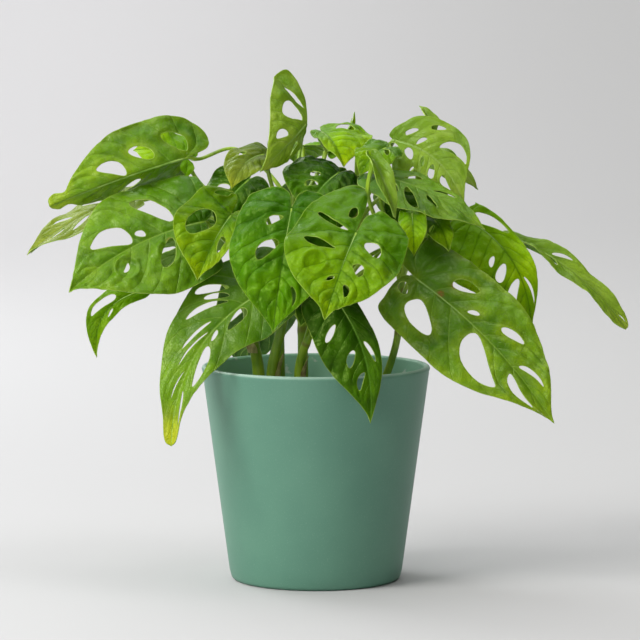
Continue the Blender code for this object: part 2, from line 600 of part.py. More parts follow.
def edge_knots(leaf, side):
    """Return the corners of half of a leaf's edge, from the tip round the lobe."""
    outline = leaf.outlines[side]
    lobe = [(-leaf.lobes[side] * depth, width) for depth, width in outline.lobe]
    return list(outline.front) + lobe


def half_edge(leaf, side, count):
    """Return half of a leaf's edge, from the tip round the lobe to the notch."""
    return catmull_rom(edge_knots(leaf, side) + [(0.0, 0.0)], count)


def edge_width(leaf, side, along):
    """Return how wide half the leaf is at a share of its length."""
    knots = edge_knots(leaf, side)
    furthest = min(range(len(knots)), key=lambda index: knots[index][0])
    places = np.array(knots[:furthest + 1])[::-1]
    return float(np.interp(along, places[:, 0], places[:, 1]))


def on_vein(leaf, side, along, out):
    """Return the flat place a share out along the side vein that leaves the midrib there."""
    sweep = (VEIN_SWEEP + VEIN_SWEEP_GAIN * along) * (1 - along) ** 0.8
    shifted = along + sweep * out * (0.6 + 0.4 * out)
    sign = 1 if side == RIGHT else -1
    return shifted, sign * out * edge_width(leaf, side, shifted)


def hole_loop(leaf, hole, corners):
    """Return the flat corners of one hole, an egg that follows its vein."""
    middle = (hole.inner + hole.outer) / 2
    reach = (hole.outer - hole.inner) / 2
    loop = []
    for corner in range(corners):
        turn = 2 * math.pi * corner / corners
        out = middle + reach * math.cos(turn)
        along = hole.along + hole.width / 2 * math.sin(turn) * (1 + 0.25 * math.cos(turn))
        along += hole.lean * (out - middle)
        loop.append(on_vein(leaf, hole.side, along, out))
    return loop


def inside_loop(point, loop):
    """Tell whether a flat point lies inside a closed loop."""
    x, y = point
    crossings = 0
    for (ax, ay), (bx, by) in zip(loop, loop[1:] + loop[:1]):
        if (ay > y) != (by > y) and x < ax + (y - ay) * (bx - ax) / (by - ay):
            crossings += 1
    return crossings % 2 == 1


def near_loop(point, loop, margin):
    """Tell whether a flat point lies within a margin of a loop's corners."""
    return any(math.hypot(point[0] - x, (point[1] - y) / 2) < margin for x, y in loop)


def flat_pattern(leaf):
    """Return the leaf's flat corners and triangles, with the holes left out."""
    right = [tuple(point) for point in half_edge(leaf, RIGHT, leaf.edge_points)]
    left = [(x, -y) for x, y in half_edge(leaf, LEFT, leaf.edge_points)]
    outline = right + left[-2:0:-1]
    holes = [hole_loop(leaf, hole, 8 if hole.width > 0.06 else 6) for hole in leaf.holes]
    points = list(outline)
    edges = [(index, (index + 1) % len(outline)) for index in range(len(outline))]
    for loop in holes:
        first = len(points)
        points += loop
        edges += [(first + index, first + (index + 1) % len(loop)) for index in range(len(loop))]
    rib = [(share, 0.0) for share in (0.16, 0.34, 0.52, 0.70, 0.86)]
    chain = [leaf.edge_points - 1] + list(range(len(points), len(points) + len(rib))) + [0]
    points += rib
    edges += list(zip(chain, chain[1:]))
    for side in (LEFT, RIGHT):
        for along in (0.02, 0.22, 0.42, 0.62):
            for out in (0.42, 0.78):
                place = on_vein(leaf, side, along, out)
                if not any(inside_loop(place, loop) or near_loop(place, loop, 0.05)
                           for loop in holes + [outline]):
                    points.append(place)
    flat = [Vector(point) for point in points]
    corners, _, faces, _, _, _ = delaunay_2d_cdt(flat, edges, [], 1, 1e-5)
    kept = []
    for face in faces:
        middle = sum((corners[index] for index in face), Vector((0, 0))) / 3
        if not any(inside_loop(middle, loop) for loop in holes):
            kept.append(face)
    return corners, kept


def build_blade(leaf, blade, material, parent):
    """Make one leaf blade, thickest along its midrib."""
    corners, faces = flat_pattern(leaf)
    places = [blade.place(*corner) - blade.start for corner in corners]
    mesh = bpy.data.meshes.new(leaf.name)
    mesh.from_pydata(places, [], faces)
    shape = bmesh.new()
    shape.from_mesh(mesh)
    bmesh.ops.recalc_face_normals(shape, faces=shape.faces)
    shape.faces.ensure_lookup_table()
    _, _, _, up = blade.frame(0.3)
    if sum((face.normal for face in shape.faces), Vector()).dot(up) < 0:
        bmesh.ops.reverse_faces(shape, faces=shape.faces)
    shape.to_mesh(mesh)
    shape.free()
    mesh.shade_smooth()
    thing = link_mesh(leaf.name, mesh, material, parent)
    thing.location = blade.start
    rib = thing.vertex_groups.new(name="rib")
    for index, corner in enumerate(corners):
        share = 1.0 if abs(corner[1]) < 1e-6 else BLADE_EDGE_SHARE
        rib.add([index], share, "REPLACE")
    wall = thing.modifiers.new("thickness", "SOLIDIFY")
    wall.thickness = BLADE_THICKNESS
    wall.offset = -1.0
    wall.vertex_group = "rib"
    return thing


def stalk_points(leaf, blade, joint):
    """Return a leaf stalk's centre line, from the vine to just under the blade."""
    base, forward, _, up = blade.frame(0.0)
    end = base - up * (BLADE_THICKNESS + STALK_CLEARANCE) - forward * STALK_RADIUS
    way = (end - joint).normalized()
    leave = Vector((0, 0, 1)) + way * STALK_LEAN
    arrive = up * STALK_RISE + forward * STALK_FOLLOW + way * STALK_LEAN
    knots = [joint, end]
    if leaf.stalk_via:
        knots.insert(1, Vector(leaf.stalk_via) * MM)
    return bent_run(knots, leave, arrive, STALK_STEPS)


def build_vine(vine, blades, material, parent):
    """Make one vine with the stalks of its leaves joined to it in one solid."""
    line = vine_points(vine)
    radii = [vine.radius * MM * (1 - 0.35 * index / len(line)) for index in range(len(line))]
    radii[0] = radii[1] = vine.radius * MM
    mesh = tube_mesh("vine_" + vine.name, line, radii, VINE_SIDES)
    stem = link_mesh("vine_" + vine.name, mesh, material, parent)
    stalks = []
    for leaf, blade in blades:
        place = 1 + leaf.joint * (len(line) - 2)
        below = min(int(place), len(line) - 2)
        joint = line[below].lerp(line[below + 1], place - below)
        run = stalk_points(leaf, blade, joint)
        widths = np.linspace(STALK_FOOT_RADIUS, STALK_RADIUS, len(run))
        stalk = bpy.data.objects.new("stalk", tube_mesh("stalk", run, widths, STALK_SIDES))
        stalks.append(stalk)
    if stalks:
        combine(stem, stalks, "UNION", "MANIFOLD")
    return stem


def vine_centre(vine, height):
    """Return the point of a vine's centre line at one height."""
    line = vine_points(vine)
    heights = [point.z for point in line]
    return Vector([np.interp(height, heights, [point[axis] for point in line])
                   for axis in range(3)])


def build_sheath(sheath, vine, material, parent):
    """Make one dry sheath, an open shell part of the way round its vine."""
    columns = len(sheath.torn)
    points = []
    for column, tear in enumerate(sheath.torn):
        turn = math.radians(sheath.starts + sheath.arc * column / (columns - 1))
        for row in range(SHEATH_ROWS):
            share = row / (SHEATH_ROWS - 1)
            height = (sheath.low + (sheath.high - sheath.low) * tear * share) * MM
            flare = sheath.radius * MM * (1 + SHEATH_FLARE * share)
            arm = Vector((math.cos(turn), math.sin(turn), 0)) * flare
            points.append(vine_centre(vine, height) + arm)
    faces = []
    for column in range(columns - 1):
        for row in range(SHEATH_ROWS - 1):
            a = column * SHEATH_ROWS + row
            b = a + SHEATH_ROWS
            faces += [(a, b, b + 1), (a, b + 1, a + 1)]
    name = "dry_sheath_" + sheath.vine
    mesh = bpy.data.meshes.new(name)
    mesh.from_pydata(points, [], faces)
    mesh.shade_smooth()
    thing = link_mesh(name, mesh, material, parent)
    wall = thing.modifiers.new("thickness", "SOLIDIFY")
    wall.thickness = SHEATH_THICKNESS
    wall.offset = 1.0
    return thing


def build_plant(parent):
    """Make the vines, their stalks and every leaf blade."""
    leaf_green = make_material("leaf_green", (0.16, 0.36, 0.03), 0.42)
    stem_green = make_material("stem_green", (0.22, 0.36, 0.05), 0.5)
    phases = random.Random(7)
    dry_brown = make_material("dry_sheath", (0.42, 0.30, 0.17), 0.75)
    vines = {vine.name: vine for vine in VINES}
    for sheath in SHEATHS:
        build_sheath(sheath, vines[sheath.vine], dry_brown, parent)
    blades = [(leaf, Blade(leaf, phases.uniform(0, 6))) for leaf in LEAVES]
    for leaf, blade in blades:
        build_blade(leaf, blade, leaf_green, parent)
    for vine in VINES:
        own = [(leaf, blade) for leaf, blade in blades if leaf.vine == vine.name]
        build_vine(vine, own, stem_green, parent)


def main():
    """Build the whole potted plant."""
    clear_scene()
    pot = build_pot()
    build_grow_pot(pot)
    build_soil(pot)
    build_plant(pot)


main()
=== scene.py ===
"""The looks of a potted Swiss-cheese vine, Monstera adansonii.

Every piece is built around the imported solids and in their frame: the origin is the centre of
the cover pot's base, with +Z up and the plant's best side to -Y. Sizes are in metres, except
that leaves and vines are listed in millimetres and scaled by MM. Left and right on a leaf are
seen from above its upper face, looking from the base to the tip.
"""

import logging
import math
import random
from collections.abc import Iterable, Mapping, Sequence
from dataclasses import dataclass
from enum import Enum, IntEnum
from typing import Any

import bmesh
import bpy
import numpy as np
from bpy.types import Material, Mesh, Node, NodeSocket, NodeTree, Object
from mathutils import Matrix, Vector, noise
from mathutils.geometry import delaunay_2d_cdt


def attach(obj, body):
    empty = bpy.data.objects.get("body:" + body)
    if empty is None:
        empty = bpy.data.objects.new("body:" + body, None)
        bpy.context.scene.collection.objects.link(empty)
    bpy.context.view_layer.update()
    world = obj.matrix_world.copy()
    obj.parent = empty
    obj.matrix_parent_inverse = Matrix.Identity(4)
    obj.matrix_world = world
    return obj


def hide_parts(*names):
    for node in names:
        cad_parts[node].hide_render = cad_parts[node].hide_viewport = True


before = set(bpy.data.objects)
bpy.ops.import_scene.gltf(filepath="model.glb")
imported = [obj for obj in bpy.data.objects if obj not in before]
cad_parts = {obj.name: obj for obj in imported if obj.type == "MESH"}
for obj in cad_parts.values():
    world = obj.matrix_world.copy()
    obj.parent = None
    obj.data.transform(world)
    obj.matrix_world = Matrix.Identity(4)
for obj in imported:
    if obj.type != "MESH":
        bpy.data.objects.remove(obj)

LOG = logging.getLogger("swiss_cheese_vine")
MM = 0.001
BODY = "root"
WAX_IOR = 1.46
GLASS_IOR = 1.5
FIBRE_STRETCH = (1.0, 1.0, 0.12)

Array = np.ndarray
Colour = tuple[float, float, float]


def srgb(*shares: int) -> Colour:
    """Turn a display colour from 0 to 255 into the linear colour that shaders use."""
    return tuple(share / 255 / 12.92 if share / 255 <= 0.04045
                 else ((share / 255 + 0.055) / 1.055) ** 2.4 for share in shares)


class NodeBench:
    """Adds nodes to one tree and joins them, so that a finish reads as a short recipe."""

    def __init__(self, tree: NodeTree) -> None:
        """Take the tree that the nodes go into."""
        self.tree = tree

    def add(self, kind: str, inputs: Mapping[Any, Any] | None = None,
            **settings: Any) -> Node:
        """Add one node.

        Args:
            kind: The node's Blender type.
            inputs: Values, or sockets of other nodes, by the input's name or number.
            settings: The node's own options.

        Returns:
            The new node.
        """
        node = self.tree.nodes.new(kind)
        for name, value in settings.items():
            setattr(node, name, value)
        for key, value in (inputs or {}).items():
            self.feed(node.inputs[key], value)
        return node

    def feed(self, socket: NodeSocket, value: Any) -> None:
        """Give an input a value, or link it to another node's output.

        Args:
            socket: The input.
            value: A plain value, a colour, or an output socket.
        """
        if isinstance(value, NodeSocket):
            self.tree.links.new(value, socket)
        elif socket.type == "RGBA" and len(value) == 3:
            socket.default_value = (*value, 1.0)
        else:
            socket.default_value = value

    def math(self, operation: str, first: Any, second: Any = 0.0, third: Any = 0.0,
             clamp: bool = False) -> NodeSocket:
        """Return the result of one Math node, kept from 0 to 1 if clamp is set."""
        return self.add("ShaderNodeMath", {0: first, 1: second, 2: third},
                        operation=operation, use_clamp=clamp).outputs[0]

    def times(self, first: Any, second: Any) -> NodeSocket:
        """Return the product of two numbers or sockets."""
        return self.math("MULTIPLY", first, second)

    def blend(self, share: Any, first: Any, second: Any) -> NodeSocket:
        """Return a colour between two, at a share from the first to the second."""
        return self.add("ShaderNodeMix", {0: share, 6: first, 7: second}, data_type="RGBA",
                        clamp_factor=True).outputs[2]

    def ramp(self, value: Any, low: float, high: float, start: float = 0.0,
             end: float = 1.0) -> NodeSocket:
        """Return a smooth step, from start where the value is low to end where it is high."""
        return self.add("ShaderNodeMapRange", {0: value, 1: low, 2: high, 3: start, 4: end},
                        interpolation_type="SMOOTHSTEP").outputs[0]


class FinishBench(NodeBench):
    """The bench of one material, with its Principled shader and the object's places."""

    def __init__(self, name: str) -> None:
        """Make a material with only its shader and its output.

        Args:
            name: The material's name.
        """
        self.material = bpy.data.materials.new(name)
        self.material.use_nodes = True
        super().__init__(self.material.node_tree)
        self.shader = self.tree.nodes["Principled BSDF"]
        self.place = self.add("ShaderNodeTexCoord").outputs["Object"]

    def mottle(self, scale: float, detail: float = 2.0,
               stretch: Sequence[float] | None = None) -> NodeSocket:
        """Return soft noise over the object.

        Args:
            scale: How many features fit in a metre.
            detail: How many finer layers the noise has.
            stretch: The places' scale along each axis, if they are stretched.

        Returns:
            The noise's output, mostly from 0.3 to 0.7.
        """
        where = self.place
        if stretch is not None:
            where = self.add("ShaderNodeMapping", {0: where, "Scale": stretch}).outputs[0]
        node = self.add("ShaderNodeTexNoise", {"Vector": where, "Scale": scale, "Detail": detail})
        return node.outputs["Fac"]

    def patches(self, scale: float, low: float, high: float, detail: float = 2.0,
                stretch: Sequence[float] | None = None) -> NodeSocket:
        """Return mottle as patches from 0 to 1, with a soft edge from low to high."""
        return self.ramp(self.mottle(scale, detail, stretch), low, high)

    def lay(self, colour: Any, over: Any, share: Any, most: float) -> NodeSocket:
        """Return a colour with another laid over it by a share, at most so strong."""
        return self.blend(self.times(share, most), colour, over)

    def trait(self, name: str) -> NodeSocket:
        """Return the value of one named attribute of the mesh."""
        return self.add("ShaderNodeAttribute", attribute_name=name).outputs["Fac"]

    def spread(self, name: str) -> NodeSocket:
        """Return the coordinates of one of the mesh's UV maps."""
        return self.add("ShaderNodeUVMap", uv_map=name).outputs[0]

    def relief(self, height: Any, depth: float, strength: float = 0.7) -> NodeSocket:
        """Return a shading normal for a height from 0 to 1 that stands for so many metres."""
        return self.add("ShaderNodeBump", {"Strength": strength, "Distance": depth,
                                           "Height": height}).outputs["Normal"]

    def coat(self, colour: Any, roughness: float, normal: Any = None) -> Material:
        """Give the shader what it needs.

        Args:
            colour: The colour's output.
            roughness: How dull the surface is, from 0 to 1.
            normal: The shading normal, where the finish has one.

        Returns:
            The finished material.
        """
        self.feed(self.shader.inputs["Base Color"], colour)
        self.shader.inputs["Roughness"].default_value = roughness
        if normal is not None:
            self.feed(self.shader.inputs["Normal"], normal)
        return self.material


@dataclass(frozen=True)
class LeafFinish:
    """How one group of leaves is coloured above and below."""
    name: str
    deep: Colour
    bright: Colour
    tender: Colour
    under: Colour
    vein_and_groove_shade: Colour
    roughness: float = 0.32
    glow: float = 0.25
    sheen: Colour = (0.60, 0.85, 0.18)

    def upper(self) -> Material:
        """Make the waxy upper face, with veins, mottling, painted light and shade on the puckers,
        painted shade towards the stalk and a painted edge highlight.
        """
        bench = FinishBench(self.name)
        reach, ripe = bench.trait("reach"), bench.trait("ripe")
        colour = bench.blend(bench.patches(42.0, 0.36, 0.64), self.deep, self.bright)
        # Painted light and shade: brighter on the crowns of the puckers, darker in their hollows and
        # grooves.
        colour = bench.lay(colour, self.bright, bench.trait("hill"), 0.45)
        # Painted shade: darker towards the stalk.
        colour = bench.blend(bench.ramp(reach, 0.05, 0.50, 0.60, 0.0), colour, self.deep)
        soft = bench.math("ADD", bench.patches(95.0, 0.40, 0.70, 3.0), 0.35)
        young = bench.math("MULTIPLY", bench.math("MULTIPLY_ADD", reach, 0.5, ripe), soft,
                           clamp=True)
        colour = bench.blend(young, colour, self.tender)
        colour = bench.lay(colour, RIPE_COLOUR, bench.math("POWER", ripe, 1.5, clamp=True), 0.85)
        leaf = bench.spread("leaf")
        line, network = self.veins(bench, leaf)
        colour = bench.lay(colour, self.deep, network, 0.22)
        # Side veins and midrib: pale lines on some tones; where the vein colour is darker than the
        # leaf, a painted shadow along the vein grooves.
        colour = bench.lay(colour, self.vein_and_groove_shade, line, 0.45)
        across = bench.add("ShaderNodeSeparateXYZ", {0: leaf}).outputs[1]
        midrib = self.stripe(bench, across, bench.math("MULTIPLY_ADD", reach, -0.006, 0.0105))
        colour = bench.lay(colour, self.vein_and_groove_shade, midrib, 0.8)
        bench.shader.inputs["IOR"].default_value = WAX_IOR
        bench.shader.inputs["Specular Tint"].default_value = (*self.sheen, 1.0)
        height = bench.math("MULTIPLY_ADD", network, -0.42, bench.mottle(850.0, 3.0))
        height = bench.math("MULTIPLY_ADD", line, -0.9, height)
        return self.finished(bench, colour, self.roughness, bench.relief(height, 0.00036))

    def lower(self) -> Material:
        """Make the paler, duller underside, where the veins stand out."""
        bench = FinishBench(self.name + "_under")
        colour = bench.lay(self.under, self.bright, bench.patches(60.0, 0.35, 0.65), 0.5)
        line, network = self.veins(bench, bench.spread("leaf"))
        colour = bench.lay(colour, self.deep, network, 0.25)
        colour = bench.lay(colour, self.tender, line, 0.55)
        height = bench.math("MULTIPLY_ADD", line, 0.9, network)
        return self.finished(bench, colour, 0.55, bench.relief(height, 0.0003))

    def veins(self, bench: FinishBench, leaf: Any) -> tuple[Any, Any]:
        """Draw the side veins and the fine net between them.

        Args:
            bench: The bench of the material.
            leaf: The leaf's flat coordinates, in decimetres.

        Returns:
            The strength of the side veins' lines, and that of the fine net.
        """
        parts = bench.add("ShaderNodeSeparateXYZ", {0: bench.spread("veins")})
        phase = bench.math("FRACT", bench.math("ADD", parts.outputs[0], 0.5))
        width = bench.math("MULTIPLY_ADD", parts.outputs[1], -0.032, 0.062)
        line = self.stripe(bench, bench.math("SUBTRACT", phase, 0.5), width)
        wobble = bench.add("ShaderNodeTexNoise", {"Vector": leaf, "Scale": 22.0})
        warp = bench.add("ShaderNodeVectorMath",
                         {0: wobble.outputs["Color"], 1: (0.05, 0.05, 0.0), 2: leaf},
                         operation="MULTIPLY_ADD")
        cells = bench.add("ShaderNodeTexVoronoi", {"Vector": warp.outputs[0], "Scale": 38.0},
                          voronoi_dimensions="2D", feature="DISTANCE_TO_EDGE")
        return line, bench.ramp(cells.outputs["Distance"], 0.0, 0.09, 1.0, 0.0)

    @staticmethod
    def stripe(bench: FinishBench, off: Any, width: Any) -> NodeSocket:
        """Return a line that fades out to both sides over a width."""
        share = bench.math("DIVIDE", bench.math("ABSOLUTE", off), width)
        return bench.math("SUBTRACT", 1.0, share, clamp=True)

    def finished(self, bench: FinishBench, colour: Any, roughness: float,
                 normal: Any) -> Material:
        """Lay the painted edge highlight and brown specks over a colour, and let light through the
        blade.

        Args:
            bench: The bench of the material.
            colour: The face's own colour.
            roughness: How dull the face is.
            normal: The shading normal.

        Returns:
            The finished material.
        """
        # Painted highlight: a pale band along every edge and hole, where the rims catch the light.
        edge = bench.ramp(bench.trait("rim"), 0.05, 0.50, 0.55, 0.0)
        colour = bench.blend(edge, colour, EDGE_HIGHLIGHT_COLOUR)
        speck = bench.times(bench.trait("scar"), bench.patches(1300.0, 0.42, 0.52))
        colour = bench.blend(speck, colour, SCAR_COLOUR)
        lit = bench.blend(0.55, colour, self.tender)
        through = bench.add("ShaderNodeBsdfTranslucent", {"Color": lit, "Normal": normal})
        both = bench.add("ShaderNodeMixShader", {0: self.glow, 1: bench.shader.outputs[0],
                                                 2: through.outputs[0]})
        bench.feed(bench.tree.nodes["Material Output"].inputs["Surface"], both.outputs[0])
        return bench.coat(colour, roughness, normal)


# Painted highlight: the pale colour of the leaves' edges and cut rims.
EDGE_HIGHLIGHT_COLOUR = srgb(168, 196, 74)
RIPE_COLOUR = srgb(206, 208, 10)
SCAR_COLOUR = srgb(150, 92, 40)


class LeafTone(Enum):
    """The finishes that the plant's leaves have, from young to old, with one darker copy that paints
    the shade on shaded leaves.
    """
    LIME = LeafFinish("leaf_lime", srgb(84, 140, 0), srgb(138, 186, 0), srgb(178, 206, 4),
                      srgb(152, 188, 60), srgb(60, 108, 0))
    FRESH = LeafFinish("leaf_fresh", srgb(54, 106, 0), srgb(108, 156, 0), srgb(154, 188, 4),
                       srgb(132, 172, 58), srgb(42, 90, 0))
    MATURE = LeafFinish("leaf_mature", srgb(36, 90, 0), srgb(80, 140, 0), srgb(120, 172, 4),
                        srgb(116, 154, 56), srgb(36, 80, 0))
    BROAD = LeafFinish("leaf_broad", srgb(54, 108, 0), srgb(108, 157, 14), srgb(150, 187, 22),
                       srgb(126, 162, 60), srgb(134, 174, 50), 0.36, 0.25, (0.92, 0.95, 0.70))
    # Painted shade: a darker copy of the leaf finish, for leaves that lie in the shade of others.
    DARK = LeafFinish("leaf_dark", srgb(26, 66, 0), srgb(56, 106, 2), srgb(92, 138, 6),
                      srgb(100, 142, 54), srgb(96, 150, 44))
    PALE = LeafFinish("leaf_pale", srgb(98, 144, 12), srgb(152, 190, 42), srgb(190, 212, 84),
                      srgb(160, 188, 94), srgb(164, 194, 90), 0.36, 0.40, (0.9, 1.0, 0.8))
    OLIVE = LeafFinish("leaf_olive", srgb(72, 98, 4), srgb(116, 136, 32), srgb(156, 166, 54),
                       srgb(134, 150, 74), srgb(82, 102, 16))


@dataclass(frozen=True)
class RibFinish:
    """The pale ribs that stand out under a blade, and the thin cut edge round it, pale as a painted
    edge highlight.
    """
    name: str
    scale: float
    pale: Colour
    green: Colour

    def build(self) -> Material:
        """Make the waxy finish, mottled between its two colours."""
        bench = FinishBench(self.name)
        tone = bench.patches(self.scale, 0.35, 0.65)
        return bench.coat(bench.blend(tone, self.pale, self.green), 0.45)


@dataclass(frozen=True)
class StalkFinish:
    """Green stalks and vines, streaked along their length, browner round the joints."""
    name: str = "stalk_green"
    young: Colour = srgb(168, 202, 46)
    old: Colour = srgb(114, 154, 26)
    shaded: Colour = srgb(58, 84, 22)
    woody: Colour = srgb(120, 96, 48)

    def build(self) -> Material:
        """Make the stalk's finish."""
        bench = FinishBench(self.name)
        streak = bench.patches(420.0, 0.34, 0.66, 3.0, (1.0, 1.0, 0.10))
        broad = bench.patches(55.0, 0.35, 0.65)
        tone = bench.math("MULTIPLY_ADD", streak, 0.4, bench.times(broad, 0.6), clamp=True)
        colour = bench.blend(tone, self.old, self.young)
        colour = bench.lay(colour, self.shaded, bench.trait("shade"), 0.6)
        colour = bench.lay(colour, self.woody, bench.ramp(bench.trait("ring"), 0.25, 0.9), 0.55)
        grain = bench.mottle(900.0, 3.0, FIBRE_STRETCH)
        return bench.coat(colour, 0.42, bench.relief(grain, 0.0003))


@dataclass(frozen=True)
class PaperFinish:
    """Dry, papery sheath left at the foot of a vine."""
    name: str = "dry_paper"
    light: Colour = srgb(190, 184, 120)
    brown: Colour = srgb(124, 104, 52)

    def build(self) -> Material:
        """Make the fibrous brown finish."""
        bench = FinishBench(self.name)
        fibre = bench.patches(900.0, 0.38, 0.62, 4.0, FIBRE_STRETCH)
        patch = bench.patches(160.0, 0.40, 0.66, 3.0)
        tone = bench.math("MULTIPLY_ADD", fibre, 0.35, bench.times(patch, 0.65), clamp=True)
        return bench.coat(bench.blend(tone, self.light, self.brown), 0.8,
                          bench.relief(fibre, 0.0004))


@dataclass(frozen=True)
class GlazeFinish:
    """Satin green glaze, with a painted highlight along the lip and painted light on the inner wall."""
    name: str = "satin_glaze"
    body: Colour = srgb(92, 140, 118)
    deep: Colour = srgb(87, 135, 114)
    # The inner wall's painted light, and the painted lip highlight, which also colours the fine specks.
    inside: Colour = srgb(150, 204, 178)
    lip: Colour = srgb(172, 200, 184)
    scuffed: Colour = (0.75, 0.80, 0.76)

    def build(self) -> Material:
        """Make the glaze."""
        bench = FinishBench(self.name)
        inner = bench.trait("inner")
        colour = bench.blend(bench.patches(26.0, 0.34, 0.66, 3.0), self.deep, self.body)
        colour = bench.lay(colour, self.lip, bench.patches(1500.0, 0.60, 0.74), 0.12)
        # Painted light: the inner wall is painted paler, for the light that reaches into the pot.
        colour = bench.lay(colour, self.inside, inner, 0.85)
        scuff = bench.times(bench.patches(130.0, 0.63, 0.68, 4.0), bench.times(inner, 0.6))
        colour = bench.blend(scuff, colour, self.scuffed)
        # Painted highlight: a pale line along the outer lip.
        colour = bench.lay(colour, self.lip, bench.trait("lip"), 0.62)
        bench.shader.inputs["IOR"].default_value = GLASS_IOR
        height = bench.math("MULTIPLY_ADD", bench.mottle(420.0), 0.6,
                            bench.times(bench.mottle(60.0), 2.0))
        return bench.coat(colour, 0.46, bench.relief(height, 0.00012, 0.5))


@dataclass(frozen=True)
class NurseryPlasticFinish:
    """Thin black moulded plastic, dusted with soil."""
    name: str = "moulded_black"
    black: Colour = srgb(30, 31, 32)
    dust: Colour = srgb(92, 78, 62)

    def build(self) -> Material:
        """Make the plastic."""
        bench = FinishBench(self.name)
        colour = bench.lay(self.black, self.dust, bench.patches(240.0, 0.52, 0.70, 4.0), 0.5)
        return bench.coat(colour, 0.5, bench.relief(bench.mottle(1400.0), 0.0001, 0.5))


@dataclass(frozen=True)
class EarthFinish:
    """Damp peat, coarse and nearly black in the hollows."""
    name: str = "potting_peat"
    dark: Colour = srgb(44, 31, 22)
    light: Colour = srgb(104, 76, 52)

    def build(self) -> Material:
        """Make the earth."""
        bench = FinishBench(self.name)
        grain = bench.mottle(520.0, 5.0)
        colour = bench.blend(bench.ramp(grain, 0.40, 0.68), self.dark, self.light)
        return bench.coat(colour, 0.92, bench.relief(grain, 0.0012, 0.9))


@dataclass(frozen=True)
class PerliteFinish:
    """White expanded grains in the peat."""
    name: str = "perlite_white"
    white: Colour = srgb(226, 222, 210)
    dirt: Colour = srgb(138, 116, 90)

    def build(self) -> Material:
        """Make the grains' chalky finish."""
        bench = FinishBench(self.name)
        dirt = bench.patches(600.0, 0.45, 0.70, 3.0)
        return bench.coat(bench.lay(self.white, self.dirt, dirt, 0.6), 0.85)


class Side(IntEnum):
    """The two halves of a leaf."""
    LEFT = 0
    RIGHT = 1


LEFT = Side.LEFT
RIGHT = Side.RIGHT
SIGNS = {LEFT: -1, RIGHT: 1}
SOIL_TOP = 0.104
SOIL_UNEVEN = 0.0022
TOUCH_GAP = 0.0003
ROOTED_DEPTH = 0.030
STALK_RADIUS = 0.0014
STALK_CLEARANCE = 0.0014
STALK_LEAN = 0.5
STALK_FOLLOW = 0.25
STALK_RISE = 0.60
BLADE_THICKNESS = 0.0011
SHEATH_FLARE = 0.12
VEIN_SWEEP = 0.15
VEIN_SWEEP_GAIN = 0.9


@dataclass(frozen=True)
class Outline:
    """Half of a leaf's edge, from the tip to the notch where the stalk joins.

    The front is in shares of the length along the midrib and of the half width. The lobe
    behind the stalk is in shares of the lobe's own depth and of the half width.
    """
    front: tuple
    lobe: tuple


HEART = Outline(((1.0, 0.0), (0.95, 0.07), (0.87, 0.25), (0.76, 0.52), (0.63, 0.78),
                 (0.48, 0.95), (0.32, 1.0), (0.14, 0.96)),
                ((0.40, 0.82), (0.86, 0.57), (1.0, 0.32), (0.75, 0.10)))
WIDE = Outline(((1.0, 0.0), (0.90, 0.13), (0.80, 0.39), (0.67, 0.68), (0.51, 0.89),
                (0.36, 1.0), (0.18, 1.02), (-0.02, 0.98)),
               ((0.42, 0.87), (0.78, 0.61), (1.0, 0.26), (0.72, 0.05)))
LONG = Outline(((1.0, 0.0), (0.97, 0.13), (0.85, 0.21), (0.75, 0.34), (0.64, 0.50),
                (0.52, 0.66), (0.39, 0.77), (0.26, 0.90), (0.13, 1.0)),
               ((0.30, 0.86), (0.80, 0.60), (1.0, 0.30), (0.75, 0.10)))
FLAP = Outline(((1.0, 0.0), (0.99, 0.14), (0.94, 0.21), (0.87, 0.16), (0.79, 0.38),
                (0.66, 0.64), (0.48, 0.90), (0.32, 0.98), (0.14, 0.99)),
               ((0.25, 0.82), (0.75, 0.58), (1.0, 0.32), (0.85, 0.08)))
BLUNT = Outline(((1.0, 0.0), (0.985, 0.30), (0.93, 0.52), (0.83, 0.68), (0.68, 0.82),
                 (0.50, 0.93), (0.32, 1.0), (0.14, 0.96)), HEART.lobe)
SLOPE = Outline(((1.0, 0.0), (0.94, 0.06), (0.85, 0.20), (0.75, 0.44), (0.65, 0.74),
                 (0.53, 0.96), (0.40, 1.0), (0.26, 0.93)),
                ((-1.3, 0.74), (-0.5, 0.48), (0.3, 0.26), (0.5, 0.10)))
CREST = Outline(((1.0, 0.0), (0.92, 0.06), (0.83, 0.13), (0.68, 0.32), (0.49, 0.54),
                 (0.32, 0.72), (0.10, 0.97), (-0.12, 1.08)),
                ((0.85, 1.05), (1.0, 0.86), (0.86, 0.60), (0.60, 0.32)))


@dataclass(frozen=True)
class Hole:
    """One opening between two side veins of a blade."""
    side: int
    along: float
    inner: float
    outer: float
    width: float
    lean: float = 0.0


@dataclass(frozen=True)
class Leaf:
    """One blade: where its stalk joins, how far its tip reaches, and which way it faces."""
    name: str
    vine: str
    joint: float
    base: tuple
    reach: tuple
    faces: tuple
    half_widths: tuple
    holes: tuple = ()
    arch: float = 5.0
    sway: float = 0.0
    twist: float = 0.0
    fold: tuple = (8.0, 8.0)
    curl: tuple = (-24.0, -24.0)
    lobes: tuple = (0.16, 0.16)
    wave: float = 1.5
    outlines: tuple = (HEART, HEART)
    stalk_via: tuple = ()


@dataclass(frozen=True)
class Vine:
    """One vine: its foot in the soil, then the points that it climbs through."""
    name: str
    foot: tuple
    climbs: tuple
    radius: float


